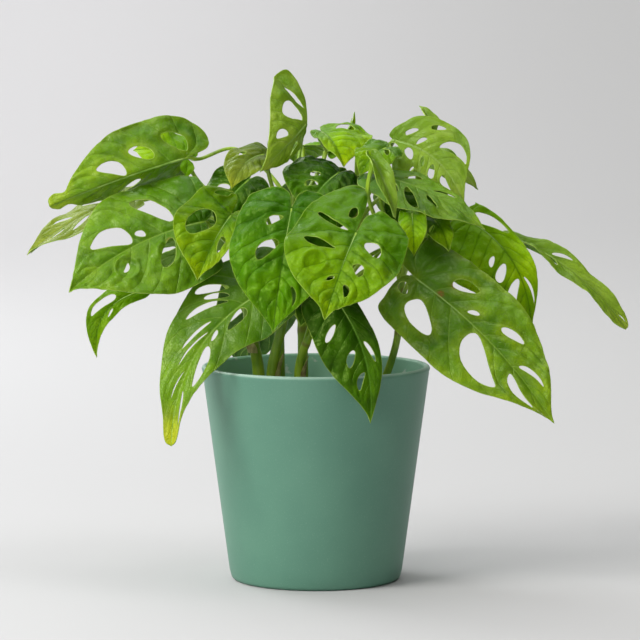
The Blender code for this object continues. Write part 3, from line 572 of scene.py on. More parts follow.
VINES = (
    Vine("a", (-34, -4), ((-35, -4, 130), (-41, -6, 165), (-40, -2, 205)), 4.0),
    Vine("b", (-21, 7), ((-22, 7, 130), (-21, 11, 170), (-13, 8, 225)), 3.6),
    Vine("c", (-26, -15), ((-26, -15, 130), (-19, -19, 160), (-12, -22, 195)), 3.7),
    Vine("d", (-9, -19), ((-10, -19, 130), (-4, -24, 150), (8, -30, 180)), 3.1),
    Vine("e", (38, -8), ((41, -9, 120), (49, -11, 148), (52, -12, 190)), 2.8),
    Vine("f", (14, 18), ((15, 18, 130), (20, 23, 175), (26, 30, 222)), 3.6),
    Vine("g", (-8, 30), ((-8, 31, 130), (-8, 38, 170), (-4, 42, 215)), 3.6),
)


@dataclass(frozen=True)
class Sheath:
    """A dry, papery sheath left round the foot of a vine, with a torn upper edge."""
    vine: str
    low: float
    high: float
    radius: float
    starts: float
    arc: float
    torn: tuple


SHEATHS = (
    Sheath("a", 138, 148, 4.5, 150, 140, (0.5, 1.0, 0.6, 0.9, 0.4, 0.8, 0.3)),
    Sheath("c", 108, 139, 4.6, -80, 200, (0.4, 0.8, 1.0, 0.9, 0.95, 0.6, 0.7, 0.3)),
    Sheath("d", 108, 138, 3.8, -100, 190, (0.3, 0.7, 0.9, 1.0, 0.8, 0.6, 0.3)),
)


def left(*sizes: float) -> Hole:
    """Return a hole in the left half of a blade, with a Hole's further sizes."""
    return Hole(LEFT, *sizes)


def right(*sizes: float) -> Hole:
    """Return a hole in the right half of a blade, with a Hole's further sizes."""
    return Hole(RIGHT, *sizes)


LEAVES = (
    Leaf("upper_left", "b", 0.97, (-76, 0, 256), (-83, -20, -29), (-90, 22), (22, 31),
         (right(0.0, 0.14, 0.66, 0.1), right(0.22, 0.16, 0.54, 0.11), right(0.45, 0.04, 0.52, 0.13),
         left(0.3, 0.3, 0.7, 0.09)), fold=(-72, 4), curl=(-8, -10), lobes=(-0.06, 0.17),
         outlines=(FLAP, FLAP), stalk_via=(-46, 24, 258)),
    Leaf("middle_left", "a", 0.85, (-66, -16, 218), (-80, -30, -40), (-95, 28), (39, 38),
         (right(0.18, 0.15, 0.71, 0.11), right(0.5, 0.05, 0.64, 0.17), right(0.39, 0.06, 0.2, 0.05),
         left(0.24, 0.14, 0.56, 0.1), left(0.53, 0.26, 0.44, 0.035)), sway=5, lobes=(0.0, 0.08)),
    Leaf("far_left", "b", 0.7, (-112, 44, 230), (-65, -10, -36), (-115, 68), (20, 18),
         (left(0.1, 0.2, 0.7, 0.08), left(0.36, 0.2, 0.7, 0.08), left(0.58, 0.2, 0.6, 0.07),
         right(0.22, 0.2, 0.7, 0.08), right(0.48, 0.2, 0.7, 0.08)), lobes=(0.05, 0.1),
         stalk_via=(-88, 42, 230)),
    Leaf("low_left", "a", 0.6, (-108, 16, 173), (-25, -6, -40), (-110, 15), (6, 11),
         (right(0.26, 0.18, 0.78, 0.26), left(0.3, 0.25, 0.6, 0.08)), sway=9, stalk_via=(-76, 16, 188)),
    Leaf("front_left_long", "a", 0.5, (-27, -36, 180), (-58, -30, -91), (-104, 25), (26, 32),
         (right(0.09, 0.44, 0.88, 0.045), right(0.13, 0.3, 0.64, 0.035),
         right(0.185, 0.24, 0.72, 0.05, 0.1), right(0.35, 0.17, 0.42, 0.065, 0.4),
         right(0.44, 0.06, 0.34, 0.04, 0.5), right(0.65, 0.08, 0.36, 0.03, 0.3),
         left(0.18, 0.05, 0.38, 0.11), left(0.34, 0.06, 0.24, 0.05), left(0.43, 0.16, 0.76, 0.15),
         left(0.68, 0.24, 0.76, 0.07)), sway=16, outlines=(LONG, LONG)),
    Leaf("cupped", "a", 0.8, (-50, -26, 223), (-20, -22, -38), (-100, 30), (13, 28),
         (right(0.2, 0.16, 0.74, 0.32), left(0.38, 0.2, 0.64, 0.18), right(-0.22, 0.45, 0.8, 0.12)),
         fold=(16, 16), curl=(-10, -10), lobes=(0.08, 0.36)),
    Leaf("front_left", "c", 0.95, (-14, -48, 229), (-11, -30, -72), (-98, 25), (30, 33),
         (right(0.3, 0.1, 0.52, 0.12), right(0.09, 0.12, 0.42, 0.06), left(0.56, 0.35, 0.75, 0.05))),
    Leaf("front", "d", 0.95, (24, -70, 216), (-19, -32, -49), (-92, 36), (32, 37),
         (right(0.17, 0.22, 0.72, 0.07, -0.25), right(-0.06, 0.14, 0.74, 0.05, -0.25),
         right(-0.2, 0.1, 0.26, 0.13), right(0.57, 0.07, 0.22, 0.05), left(0.11, 0.24, 0.58, 0.12),
         left(0.37, 0.2, 0.46, 0.11), left(0.6, 0.2, 0.5, 0.08)), lobes=(0.3, 0.6),
         outlines=(WIDE, WIDE)),
    Leaf("crest", "b", 0.98, (-5, 0, 276), (-28, -30, -28), (-60, 23), (15, 31),
         (right(-0.15, 0.24, 0.74, 0.07), right(0.04, 0.12, 0.66, 0.18), right(0.36, 0.2, 0.6, 0.14),
         left(0.25, 0.25, 0.75, 0.12)), fold=(-50, 6), curl=(-12, -8), lobes=(-0.05, 0.45),
         outlines=(HEART, CREST), stalk_via=(-9, 22, 262)),
    Leaf("crest_right", "b", 0.9, (3, 10, 271), (14, -20, -21), (-70, 42), (29, 8),
         (left(0.02, 0.35, 0.72, 0.18),), lobes=(0.24, 0.12), stalk_via=(6, 22, 256)),
    Leaf("spear", "f", 0.85, (8, 44, 256), (16, 4, 25), (-40, 10), (4, 4), fold=(50, 50),
         lobes=(0.06, 0.06)),
    Leaf("upper_right", "f", 0.98, (47, 14, 265), (42, -18, -38), (-96, 20), (24, 27),
         (left(0.065, 0.3, 0.56, 0.07), left(0.15, 0.62, 0.84, 0.06), left(0.38, 0.28, 0.86, 0.15),
         left(0.21, 0.08, 0.34, 0.05), right(0.0, 0.14, 0.5, 0.09), right(0.16, 0.08, 0.36, 0.1),
         right(0.23, 0.46, 0.82, 0.11), right(0.33, 0.12, 0.34, 0.05), right(0.47, 0.12, 0.48, 0.08),
         right(0.63, 0.16, 0.68, 0.1)), sway=-8, lobes=(0.1, 0.1), outlines=(SLOPE, SLOPE)),
    Leaf("spike", "f", 0.92, (70, 40, 268), (-7, 2, 17), (-60, 10), (4, 5), fold=(30, 30)),
    Leaf("right_tip", "f", 0.9, (68, 46, 254), (32, 2, -21), (-60, 55), (15, 15),
         (left(0.3, 0.2, 0.7, 0.12),)),
    Leaf("arching_right", "e", 0.95, (40, -8, 245), (61, -18, -31), (-72, 66), (14, 28),
         (right(0.0, 0.2, 0.56, 0.06), right(0.1, 0.24, 0.62, 0.05), right(0.21, 0.22, 0.9, 0.08),
         right(0.4, 0.2, 0.6, 0.06), left(0.14, 0.25, 0.7, 0.06), left(0.42, 0.2, 0.7, 0.08))),
    Leaf("right_wavy", "f", 0.7, (92, 14, 217), (38, -16, -68), (-88, 16), (12, 35),
         (left(0.05, 0.16, 0.84, 0.15), right(0.3, 0.22, 0.4, 0.05), right(0.42, 0.14, 0.5, 0.09),
         right(0.6, 0.06, 0.66, 0.11), left(0.57, 0.16, 0.76, 0.07)), arch=10, sway=-10,
         lobes=(0.05, 0.1), outlines=(WIDE, WIDE)),
    Leaf("right_large", "e", 0.7, (58, -40, 187), (82, -30, -84), (-80, 36), (34, 38),
         (right(0.07, 0.32, 0.74, 0.14), right(0.4, 0.1, 0.8, 0.19), right(-0.03, 0.22, 0.46, 0.05),
         right(0.65, 0.18, 0.76, 0.11), right(0.7, 0.7, 1.15, 0.025), left(0.13, 0.3, 0.62, 0.08),
         left(0.3, 0.1, 0.24, 0.04), left(0.42, 0.3, 0.6, 0.08), left(0.66, 0.12, 0.6, 0.06)), sway=-4,
         lobes=(0.14, 0.05)),
    Leaf("far_right", "f", 0.65, (125, 26, 203), (64, -8, -53), (-62, 50), (8, 12),
         (left(0.2, 0.2, 0.7, 0.07), right(0.15, 0.2, 0.7, 0.07), left(0.86, 0.25, 0.65, 0.04)), arch=8,
         fold=(34, 26), twist=20, outlines=(BLUNT, BLUNT)),
    Leaf("over_rim", "d", 0.6, (11, -68, 177), (21, -12, -73), (-86, 12), (10, 25),
         (right(0.4, 0.2, 0.5, 0.09), right(0.12, 0.35, 0.75, 0.05), right(0.6, 0.12, 0.52, 0.08),
         left(0.36, 0.2, 0.62, 0.09)), sway=-7),
    Leaf("small_left", "b", 0.85, (-30, -8, 258), (-20, -24, -20), (-106, 25), (13, 15),
         (right(0.25, 0.32, 0.52, 0.12),), sway=3),
    Leaf("under_crest", "c", 0.9, (14, -9, 247), (-22, -28, -24), (-96, 36), (15, 29),
         (right(0.46, 0.1, 0.4, 0.1), right(0.26, 0.2, 0.4, 0.09))),
    Leaf("between", "f", 0.97, (43, -6, 262), (-17, -12, -17), (-100, 50), (13, 14),
         (left(0.4, 0.2, 0.7, 0.14), left(0.15, 0.2, 0.6, 0.1)), stalk_via=(27, 22, 262)),
    Leaf("folded", "e", 0.9, (34, -42, 256), (13, -12, -34), (-80, 30), (7, 7), fold=(50, 50),
         stalk_via=(31, -32, 234)),
    Leaf("curled_small", "e", 0.85, (57, -36, 225), (1, -12, -26), (-90, 25), (8, 9)),
    Leaf("split", "e", 0.92, (70, -24, 220), (9, -10, -19), (-80, 40), (7, 10),
         (right(0.2, 0.3, 0.85, 0.09),), lobes=(0.02, 0.16)),
    Leaf("behind_left", "b", 0.8, (-80, 72, 251), (-34, 4, 5), (-110, 40), (16, 17),
         (left(0.3, 0.2, 0.6, 0.12),)),
    Leaf("young", "d", 0.8, (-2, -54, 171), (-7, -8, -12), (-100, 30), (7, 7)),
    Leaf("inner_left", "b", 0.75, (-40, 10, 242), (-21, -4, -27), (-100, 30), (17, 20),
         (right(0.3, 0.2, 0.6, 0.12),)),
    Leaf("inner_middle", "g", 0.78, (19, 16, 240), (-18, -8, -36), (-96, 26), (15, 16),
         (right(0.3, 0.2, 0.6, 0.12),)),
    Leaf("inner_right", "f", 0.55, (66, 26, 232), (-16, -6, -42), (-88, 28), (19, 20),
         (left(0.3, 0.2, 0.6, 0.12),)),
    Leaf("back_left", "g", 0.9, (-60, 74, 212), (-42, 34, -42), (130, 42), (32, 30),
         (right(0.12, 0.2, 0.8, 0.09), right(0.38, 0.15, 0.75, 0.11), left(0.2, 0.2, 0.8, 0.1),
         left(0.5, 0.15, 0.7, 0.09))),
    Leaf("back", "g", 0.98, (2, 76, 232), (8, 44, -58), (84, 40), (28, 28), (right(0.1, 0.2, 0.8, 0.09),
         right(0.4, 0.15, 0.75, 0.12), left(0.22, 0.2, 0.8, 0.11), left(0.52, 0.15, 0.7, 0.09))),
    Leaf("back_right", "f", 0.8, (56, 66, 226), (46, 34, -48), (48, 44), (31, 31),
         (right(0.14, 0.2, 0.8, 0.1), right(0.44, 0.15, 0.7, 0.1), left(0.1, 0.2, 0.8, 0.09),
         left(0.36, 0.15, 0.75, 0.12))),
    Leaf("back_low", "g", 0.5, (-32, 62, 178), (-14, 36, -66), (100, 22), (26, 27),
         (right(0.2, 0.2, 0.75, 0.1), left(0.3, 0.2, 0.75, 0.1))),
    Leaf("back_top", "g", 0.95, (-8, 62, 260), (-2, 40, -16), (85, 62), (22, 22),
         (right(0.2, 0.2, 0.75, 0.1), left(0.35, 0.2, 0.75, 0.11))),
)


@dataclass(frozen=True)
class Mark:
    """A round spot on a blade: a ridge where a hole began to form, or a brown speck."""
    side: Side
    along: float
    out: float
    radius: float
    height: float = 0.0


@dataclass(frozen=True)
class LeafLook:
    """What one leaf shows beside its shape."""
    tone: LeafTone
    pucker: float
    ripe_tip: float = 0.0
    ripe_edge: float = 0.0
    rings: tuple[Mark, ...] = ()
    scars: tuple[Mark, ...] = ()


LIME, FRESH, MATURE, BROAD, DARK, PALE, OLIVE = LeafTone
# Leaves deep among or under the others take the darker tone, a painted shade.
LOOKS = {
    "upper_left": LeafLook(BROAD, 1.0, 0.2, 0.2),
    "middle_left": LeafLook(BROAD, 1.2, rings=(Mark(LEFT, 0.53, 0.35, 7.5, 1.6),
        Mark(LEFT, 0.24, 0.35, 7.5, 1.0)), scars=(Mark(LEFT, 0.24, 0.16, 1.8),)),
    "far_left": LeafLook(OLIVE, 0.5),
    "low_left": LeafLook(FRESH, 0.7),
    "front_left_long": LeafLook(BROAD, 0.5, 0.9),
    "cupped": LeafLook(FRESH, 1.0, 0.12, 0.15),
    "front_left": LeafLook(MATURE, 1.3, 0.0, rings=(Mark(RIGHT, 0.62, 0.16, 2.6, 0.9),)),
    "front": LeafLook(FRESH, 1.3, 0.12, rings=(Mark(RIGHT, 0.36, 0.48, 7.0, 1.5),)),
    "crest": LeafLook(PALE, 0.8, 0.4, 0.2),
    "crest_right": LeafLook(LIME, 0.8, 0.3),
    "spear": LeafLook(LIME, 0.2),
    "upper_right": LeafLook(PALE, 0.7, 0.1),
    "spike": LeafLook(PALE, 0.3),
    "right_tip": LeafLook(PALE, 0.6, 0.3),
    "arching_right": LeafLook(BROAD, 0.8),
    "right_wavy": LeafLook(LIME, 1.0),
    "right_large": LeafLook(BROAD, 0.9, 0.1, 0.22, scars=(Mark(LEFT, 0.15, 0.04, 2.2),
        Mark(LEFT, 0.12, 0.34, 2.0))),
    "far_right": LeafLook(PALE, 0.9, 0.4),
    "over_rim": LeafLook(DARK, 1.0),
    "small_left": LeafLook(OLIVE, 0.7, 0.5),
    "under_crest": LeafLook(DARK, 1.4, 0.3),
    "between": LeafLook(FRESH, 0.8),
    "folded": LeafLook(PALE, 0.5),
    "curled_small": LeafLook(LIME, 0.5),
    "split": LeafLook(FRESH, 0.5),
    "behind_left": LeafLook(LIME, 0.7),
    "young": LeafLook(DARK, 0.4),
    "inner_left": LeafLook(DARK, 0.9),
    "inner_middle": LeafLook(DARK, 0.9),
    "inner_right": LeafLook(DARK, 0.9),
    "back_left": LeafLook(FRESH, 1.0),
    "back": LeafLook(MATURE, 1.0),
    "back_right": LeafLook(FRESH, 1.0),
    "back_low": LeafLook(DARK, 1.0),
    "back_top": LeafLook(LIME, 1.0),
}


def unit(vectors: Array) -> Array:
    """Return one vector, or a row of them, scaled to a length of one."""
    return vectors / np.linalg.norm(vectors, axis=-1, keepdims=True)


def of_half(pair: Sequence[Any], across: Array) -> Array:
    """Return for each point the left or the right one of a pair, by the half it lies on."""
    return np.where(across >= 0, pair[RIGHT], pair[LEFT])


def catmull_rom(points: Sequence[Sequence[float]], steps: int) -> Array:
    """Return a smooth run of points through the given ones.

    Args:
        points: The knots.
        steps: How many points the run has.

    Returns:
        The points, one in each row.
    """
    knots = np.array(points, dtype=float)
    ends = np.vstack((2 * knots[0] - knots[1], knots, 2 * knots[-1] - knots[-2]))
    share = np.linspace(0, len(knots) - 1, steps)
    first = np.minimum(share.astype(int), len(knots) - 2)
    t = (share - first)[:, None]
    a, b, c, d = (ends[first + step] for step in range(4))
    return 0.5 * (2 * b + (c - a) * t + (2 * a - 5 * b + 4 * c - d) * t ** 2
                  + (3 * b - a - 3 * c + d) * t ** 3)


def bent_run(knots: Array, leave: Array, arrive: Array, steps: int) -> Array:
    """Return an easy bend through the knots, with a given way at each end.

    Args:
        knots: The points that the bend goes through, one in each row.
        leave: The way that it starts along.
        arrive: The way that it ends along.
        steps: How many points the run has.

    Returns:
        The points, one in each row.
    """
    spans = np.linalg.norm(np.diff(knots, axis=0), axis=1)
    ways = unit(np.vstack((leave, knots[2:] - knots[:-2], arrive)))
    reach = np.concatenate(((0.0,), np.cumsum(spans)))
    place = np.linspace(0, reach[-1], steps)
    first = np.clip(np.searchsorted(reach, place, side="right") - 1, 0, len(spans) - 1)
    span = spans[first][:, None]
    t = (place - reach[first])[:, None] / span
    return (knots[first] * (2 * t ** 3 - 3 * t ** 2 + 1)
            + ways[first] * span * (t ** 3 - 2 * t ** 2 + t)
            + knots[first + 1] * (3 * t ** 2 - 2 * t ** 3)
            + ways[first + 1] * span * (t ** 3 - t ** 2))


def evenly(points: Array, spacing: float) -> Array:
    """Return a line's points again at an even spacing, with both ends kept.

    Args:
        points: The line.
        spacing: About how far apart the new points are.

    Returns:
        The new points.
    """
    steps = np.linalg.norm(np.diff(points, axis=0), axis=1)
    travel = np.concatenate(([0.0], np.cumsum(steps)))
    count = max(int(round(travel[-1] / spacing)), 2)
    marks = np.linspace(0, travel[-1], count + 1)
    return np.column_stack([np.interp(marks, travel, points[:, axis])
                            for axis in range(points.shape[1])])


def inside_loop(points: Array, loop: Array) -> Array:
    """Tell which flat points lie inside a closed loop.

    Args:
        points: The points, one in each row.
        loop: The loop's corners in order.

    Returns:
        True or False for each point.
    """
    x, y = points[:, 0], points[:, 1]
    crossings = np.zeros(len(points), dtype=int)
    for (ax, ay), (bx, by) in zip(loop, np.roll(loop, -1, axis=0)):
        spans = (ay > y) != (by > y)
        if spans.any():
            crossings += spans & (x < ax + (y - ay) * (bx - ax) / (by - ay))
    return crossings % 2 == 1


def loop_distance(points: Array, loop: Array) -> Array:
    """Return how far flat points lie from a closed loop.

    Args:
        points: The points, one in each row.
        loop: The loop's corners in order.

    Returns:
        The distance of each point to the loop's nearest place.
    """
    nearest = np.full(len(points), np.inf)
    for start, end in zip(loop, np.roll(loop, -1, axis=0)):
        run = end - start
        share = np.clip((points - start) @ run / max(run @ run, 1e-12), 0, 1)
        gap = points - start - share[:, None] * run
        nearest = np.minimum(nearest, np.hypot(gap[:, 0], gap[:, 1]))
    return nearest


class Blade:
    """The bent surface of one leaf, from shares of its length and half width to space."""

    def __init__(self, leaf: Leaf, phase: float) -> None:
        """Work out the leaf's curve.

        Args:
            leaf: The leaf's place and shape.
            phase: Where its edge's wave starts, in radians.
        """
        self.leaf = leaf
        self.phase = phase
        self.start = np.array(leaf.base) * MM
        chord = np.array(leaf.reach) * MM
        self.length = float(np.linalg.norm(chord))
        turn, rise = np.radians(leaf.faces)
        outward = np.array((math.cos(rise) * math.cos(turn), math.cos(rise) * math.sin(turn),
                            math.sin(rise)))
        along = chord / self.length
        self.up = unit(outward - along * outward.dot(along))
        bow = self.up * leaf.arch + np.cross(along, self.up) * leaf.sway
        self.bend = self.start + chord / 2 + bow * 2 * MM
        self.tip = self.start + chord

    def frames(self, along: Array) -> tuple[Array, Array, Array, Array]:
        """Return the midrib's points, with the blade's forward, right and up directions.

        Args:
            along: Shares of the length, below 0 in the lobes.

        Returns:
            The centres and the three directions, one row for each share.
        """
        inside = np.maximum(along, 0.0)[:, None]
        first, second = self.bend - self.start, self.tip - self.bend
        centre = (self.start * (1 - inside) ** 2 + self.bend * 2 * inside * (1 - inside)
                  + self.tip * inside ** 2)
        forward = unit(first * (1 - inside) + second * inside)
        centre = centre + forward * (along[:, None] - inside) * self.length
        turn = math.radians(self.leaf.twist) * (inside - 0.5)
        level = (forward @ self.up)[:, None]
        spun = (self.up * np.cos(turn) + np.cross(forward, self.up) * np.sin(turn)
                + forward * level * (1 - np.cos(turn)))
        up = unit(spun - forward * np.sum(spun * forward, axis=1, keepdims=True))
        return centre, forward, np.cross(forward, up), up

    def surface(self, along: Array, across: Array) -> tuple[Array, Array]:
        """Return places on the upper face and which way it faces there.

        Args:
            along: Shares of the length.
            across: Shares of the half width, below 0 on the left.

        Returns:
            The places and the normals, one row for each pair.
        """
        leaf = self.leaf
        sign = np.where(across >= 0, 1.0, -1.0)
        half = of_half(leaf.half_widths, across) * MM
        fold = np.radians(of_half(leaf.fold, across))
        bend = np.radians(of_half(leaf.curl, across)) / half
        reach = np.abs(across) * half
        tilt = fold + bend * reach
        out = (np.sin(tilt) - np.sin(fold)) / bend
        lift = (np.cos(fold) - np.cos(tilt)) / bend
        lift += leaf.wave * MM * across ** 2 * np.sin(12 * along + self.phase + sign)
        centre, _, right, up = self.frames(along)
        places = centre + right * (out * sign)[:, None] + up * lift[:, None]
        normals = up * np.cos(tilt)[:, None] - right * (np.sin(tilt) * sign)[:, None]
        return places, normals


class LeafCut:
    """The flat cut of one leaf in millimetres: its edge, holes, veins and triangles."""

    EDGE_STEPS = 240
    EDGE_SPACING = 0.85
    FINEST = 0.95
    HOLE_CORNERS = 30
    INSET = 0.45
    ROOT_GAP = 0.06
    LAST_ROOT = 0.91

    def __init__(self, leaf: Leaf, seed: int) -> None:
        """Lay out the leaf's edge, its holes and the feet of its side veins.

        Args:
            leaf: The leaf's shape.
            seed: The seed for what differs from leaf to leaf.
        """
        self.leaf = leaf
        self.length = float(np.linalg.norm(leaf.reach))
        self.draw = random.Random(seed)
        self.loops = [self.whole_edge()] + [self.hole_loop(hole) for hole in leaf.holes]
        self.roots = {side: self.vein_roots(side) for side in Side}

    def edge_knots(self, side: Side) -> list[tuple[float, float]]:
        """Return the corners of half of the edge, from the tip round the lobe."""
        depth, outline = self.leaf.lobes[side], self.leaf.outlines[side]
        return [*outline.front, *((-depth * back, width) for back, width in outline.lobe)]

    def flat(self, places: Array) -> Array:
        """Turn shares of the length and half width into millimetres on the flat leaf."""
        half = of_half(self.leaf.half_widths, places[:, 1])
        return np.column_stack((places[:, 0] * self.length, places[:, 1] * half))

    def shares(self, flat: Array) -> Array:
        """Turn millimetres on the flat leaf into shares of its length and half width."""
        half = of_half(self.leaf.half_widths, flat[:, 1])
        return np.column_stack((flat[:, 0] / self.length, flat[:, 1] / half))

    def half_edge(self, side: Side, sign: float) -> Array:
        """Return half of the edge in millimetres, from the tip round the lobe to the notch."""
        line = catmull_rom(self.edge_knots(side) + [(0.0, 0.0)], self.EDGE_STEPS)
        return evenly(self.flat(line * np.array((1.0, sign))), self.EDGE_SPACING)

    def whole_edge(self) -> Array:
        """Return the whole edge as one loop in millimetres."""
        return np.vstack((self.half_edge(RIGHT, 1.0), self.half_edge(LEFT, -1.0)[-2:0:-1]))

    def edge_width(self, side: Side, along: Array) -> Array:
        """Return how wide half the leaf is.

        Args:
            side: The half of the leaf.
            along: Shares of the length.

        Returns:
            The share of the half width at each.
        """
        knots = self.edge_knots(side)
        furthest = min(range(len(knots)), key=lambda index: knots[index][0])
        places = np.array(knots[:furthest + 1])[::-1]
        return np.interp(along, places[:, 0], places[:, 1])

    @staticmethod
    def sweep(along: Array) -> Array:
        """Return how far a side vein that leaves the midrib there runs on to the tip."""
        return (VEIN_SWEEP + VEIN_SWEEP_GAIN * along) * np.maximum(1 - along, 0.0) ** 0.8

    @staticmethod
    def bow(out: Array) -> Array:
        """Return the share of its sweep that a side vein has reached."""
        return out * (0.6 + 0.4 * out)

    def on_vein(self, side: Side, along: Array, out: Array) -> Array:
        """Return flat places, a share out along the side vein that leaves there."""
        along = along + self.sweep(along) * self.bow(out)
        return self.flat(np.column_stack((along, SIGNS[side] * out * self.edge_width(side, along))))

    def off_mark(self, mark: Mark, flat: Array) -> Array:
        """Return how far flat points lie from the middle of a mark."""
        middle = self.on_vein(mark.side, np.array([mark.along]), np.array([mark.out]))[0]
        return np.hypot(*(flat - middle).T)

    def hole_loop(self, hole: Hole) -> Array:
        """Lay out one hole as an egg that follows its vein.

        Args:
            hole: The hole's place and sizes.

        Returns:
            Its corners in millimetres.
        """
        turn = np.linspace(0, 2 * math.pi, self.HOLE_CORNERS, endpoint=False)
        middle, reach = (hole.inner + hole.outer) / 2, (hole.outer - hole.inner) / 2
        start = self.draw.uniform(0, 6)
        uneven = 1 + 0.05 * np.sin(2 * turn + start) + 0.03 * np.sin(3 * turn + 2 * start)
        out = middle + reach * np.cos(turn) * uneven
        along = hole.along + hole.width / 2 * np.sin(turn) * (1 + 0.25 * np.cos(turn)) * uneven
        return self.on_vein(hole.side, along + hole.lean * (out - middle), out)

    def vein_roots(self, side: Side) -> list[float]:
        """Return where side veins leave the midrib, each between two holes.

        Args:
            side: The half of the leaf.

        Returns:
            Shares of the length, from the base to the tip.
        """
        slots = sorted({hole.along for hole in self.leaf.holes
                        if hole.side == side and hole.along > 0.0})
        marks = [first + (second - first) / 2 for first, second in zip(slots, slots[1:])
                 if second - first > self.ROOT_GAP]
        if slots:
            marks = [slots[0] - 0.085] + marks + [slots[-1] + 0.11]
        roots = [0.03]
        for mark in sorted(marks) + [0.9]:
            gap = mark - roots[-1]
            if gap < self.ROOT_GAP:
                continue
            extra = int(gap / 0.17)
            roots += [roots[-1] + gap * step / (extra + 1) for step in range(1, extra + 1)]
            roots.append(mark)
        return [root for root in roots if root < self.LAST_ROOT]

    def veins_by(self, flat: Array) -> Array:
        """Return the vein numbers and the shares out of flat points, for each half."""
        return np.array([self.vein_number(side, flat) for side in Side])

    def vein_number(self, side: Side, flat: Array) -> tuple[Array, Array]:
        """Return which vein each flat point lies by, as a whole number on a vein.

        Args:
            side: The half of the leaf that the points are taken to lie on.
            flat: The points in millimetres.

        Returns:
            The vein numbers and the shares out from the midrib.
        """
        along = flat[:, 0] / self.length
        across = np.abs(flat[:, 1]) / self.leaf.half_widths[side]
        out = np.clip(across / np.maximum(self.edge_width(side, along), 0.04), 0, 1)
        trial = np.linspace(-0.5, 0.985, 150)
        passed = trial[None, :] + self.sweep(trial)[None, :] * self.bow(out)[:, None]
        index = np.clip(np.argmax(passed > along[:, None], axis=1), 1, len(trial) - 1)
        rows = np.arange(len(flat))
        low, high = passed[rows, index - 1], passed[rows, index]
        share = np.clip((along - low) / np.maximum(high - low, 1e-9), 0, 1)
        root = trial[index - 1] + share * (trial[1] - trial[0])
        roots = self.roots[side]
        number = np.interp(root, roots + [1.0], np.arange(len(roots) + 1, dtype=float))
        behind = (roots[0] + self.sweep(np.array(roots[0])) * self.bow(out) - along) * self.length
        swing = behind / (np.hypot(flat[:, 0], flat[:, 1]) + 1.5)
        return np.where(root < roots[0], -1.7 * swing, number), out

    def material_at(self, points: Array) -> Array:
        """Tell which flat points lie on the leaf and in none of its holes."""
        edge, *holes = (inside_loop(points, loop) for loop in self.loops)
        return edge & ~np.any(holes, axis=0) if holes else edge

    def rim_distance(self, points: Array) -> Array:
        """Return how far flat points lie from the nearest edge or hole."""
        return np.min([loop_distance(points, loop) for loop in self.loops], axis=0)

    def inset_points(self) -> Array:
        """Return points just inside every edge, which keep the margin crisp."""
        rows = []
        for loop in self.loops:
            run = unit(np.roll(loop, -1, axis=0) - np.roll(loop, 1, axis=0) + 1e-9)
            side = np.column_stack((-run[:, 1], run[:, 0])) * self.INSET
            rows += [loop + side, loop - side]
        points = np.vstack(rows)
        kept = self.material_at(points) & (self.rim_distance(points) > 0.8 * self.INSET)
        return points[kept]

    def lattice(self, spacing: float) -> Array:
        """Lay an even triangular lattice over the leaf.

        Args:
            spacing: How far apart its points are.

        Returns:
            The points that lie clear of every edge.
        """
        low, high = self.loops[0].min(axis=0), self.loops[0].max(axis=0)
        x, y = np.meshgrid(np.arange(low[0], high[0], spacing),
                           np.arange(low[1], high[1], spacing * 0.866))
        x[::2] += spacing / 2
        points = np.column_stack((x.ravel(), y.ravel()))
        points = points[self.material_at(points) & (np.abs(points[:, 1]) > 0.5 * spacing)]
        return points[self.rim_distance(points) > 1.1 * spacing]

    def triangles(self) -> tuple[Array, list[list[int]]]:
        """Cut the leaf into triangles, with its midrib as one line of edges.

        Returns:
            The flat corners in millimetres and the triangles' corner numbers.
        """
        points, edges = [], []
        for loop in self.loops:
            first, count = len(points), len(loop)
            points += list(loop)
            edges += [(first + index, first + (index + 1) % count) for index in range(count)]
        rib = [(x, 0.0) for x in np.arange(self.FINEST, self.length - self.FINEST, self.FINEST)]
        edges += [(len(points) + index, len(points) + index + 1) for index in range(len(rib) - 1)]
        points += [*rib, *self.inset_points(), *self.lattice(self.FINEST)]
        corners, _, faces, _, _, _ = delaunay_2d_cdt(
            [Vector((float(x), float(y))) for x, y in points], edges, [], 0, 1e-4)
        flat = np.array([tuple(corner) for corner in corners])
        rows = np.array(faces)
        kept = self.material_at(flat[rows].mean(axis=1))
        return flat, rows[kept].tolist()


class GrowingTree:
    """A Geometry Nodes tree with named inputs, which ends in a smooth, dressed mesh."""

    NAME = "bare_tree"
    INPUTS: Mapping[str, str] = {}

    def __init__(self) -> None:
        """Make the tree with its inputs, as far as the group's own output."""
        self.tree = bpy.data.node_groups.new(self.NAME, "GeometryNodeTree")
        face = self.tree.interface
        for title, kind in {"Geometry": "Geometry", **self.INPUTS, "Finish": "Material"}.items():
            face.new_socket(title, in_out="INPUT", socket_type="NodeSocket" + kind)
        face.new_socket("Geometry", in_out="OUTPUT", socket_type="NodeSocketGeometry")
        self.bench = NodeBench(self.tree)
        self.given = self.bench.add("NodeGroupInput").outputs
        smooth = self.bench.add("GeometryNodeSetShadeSmooth", {0: self.shape()})
        real = self.bench.add("GeometryNodeRealizeInstances", {0: smooth.outputs[0]})
        dressed = self.bench.add("GeometryNodeSetMaterial",
                                 {0: real.outputs[0], "Material": self.given["Finish"]})
        result = self.bench.add("NodeGroupOutput")
        self.bench.feed(result.inputs[0], dressed.outputs[0])

    def shape(self) -> NodeSocket:
        """Return the geometry that the tree grows, before it is dressed."""
        return self.given["Geometry"]


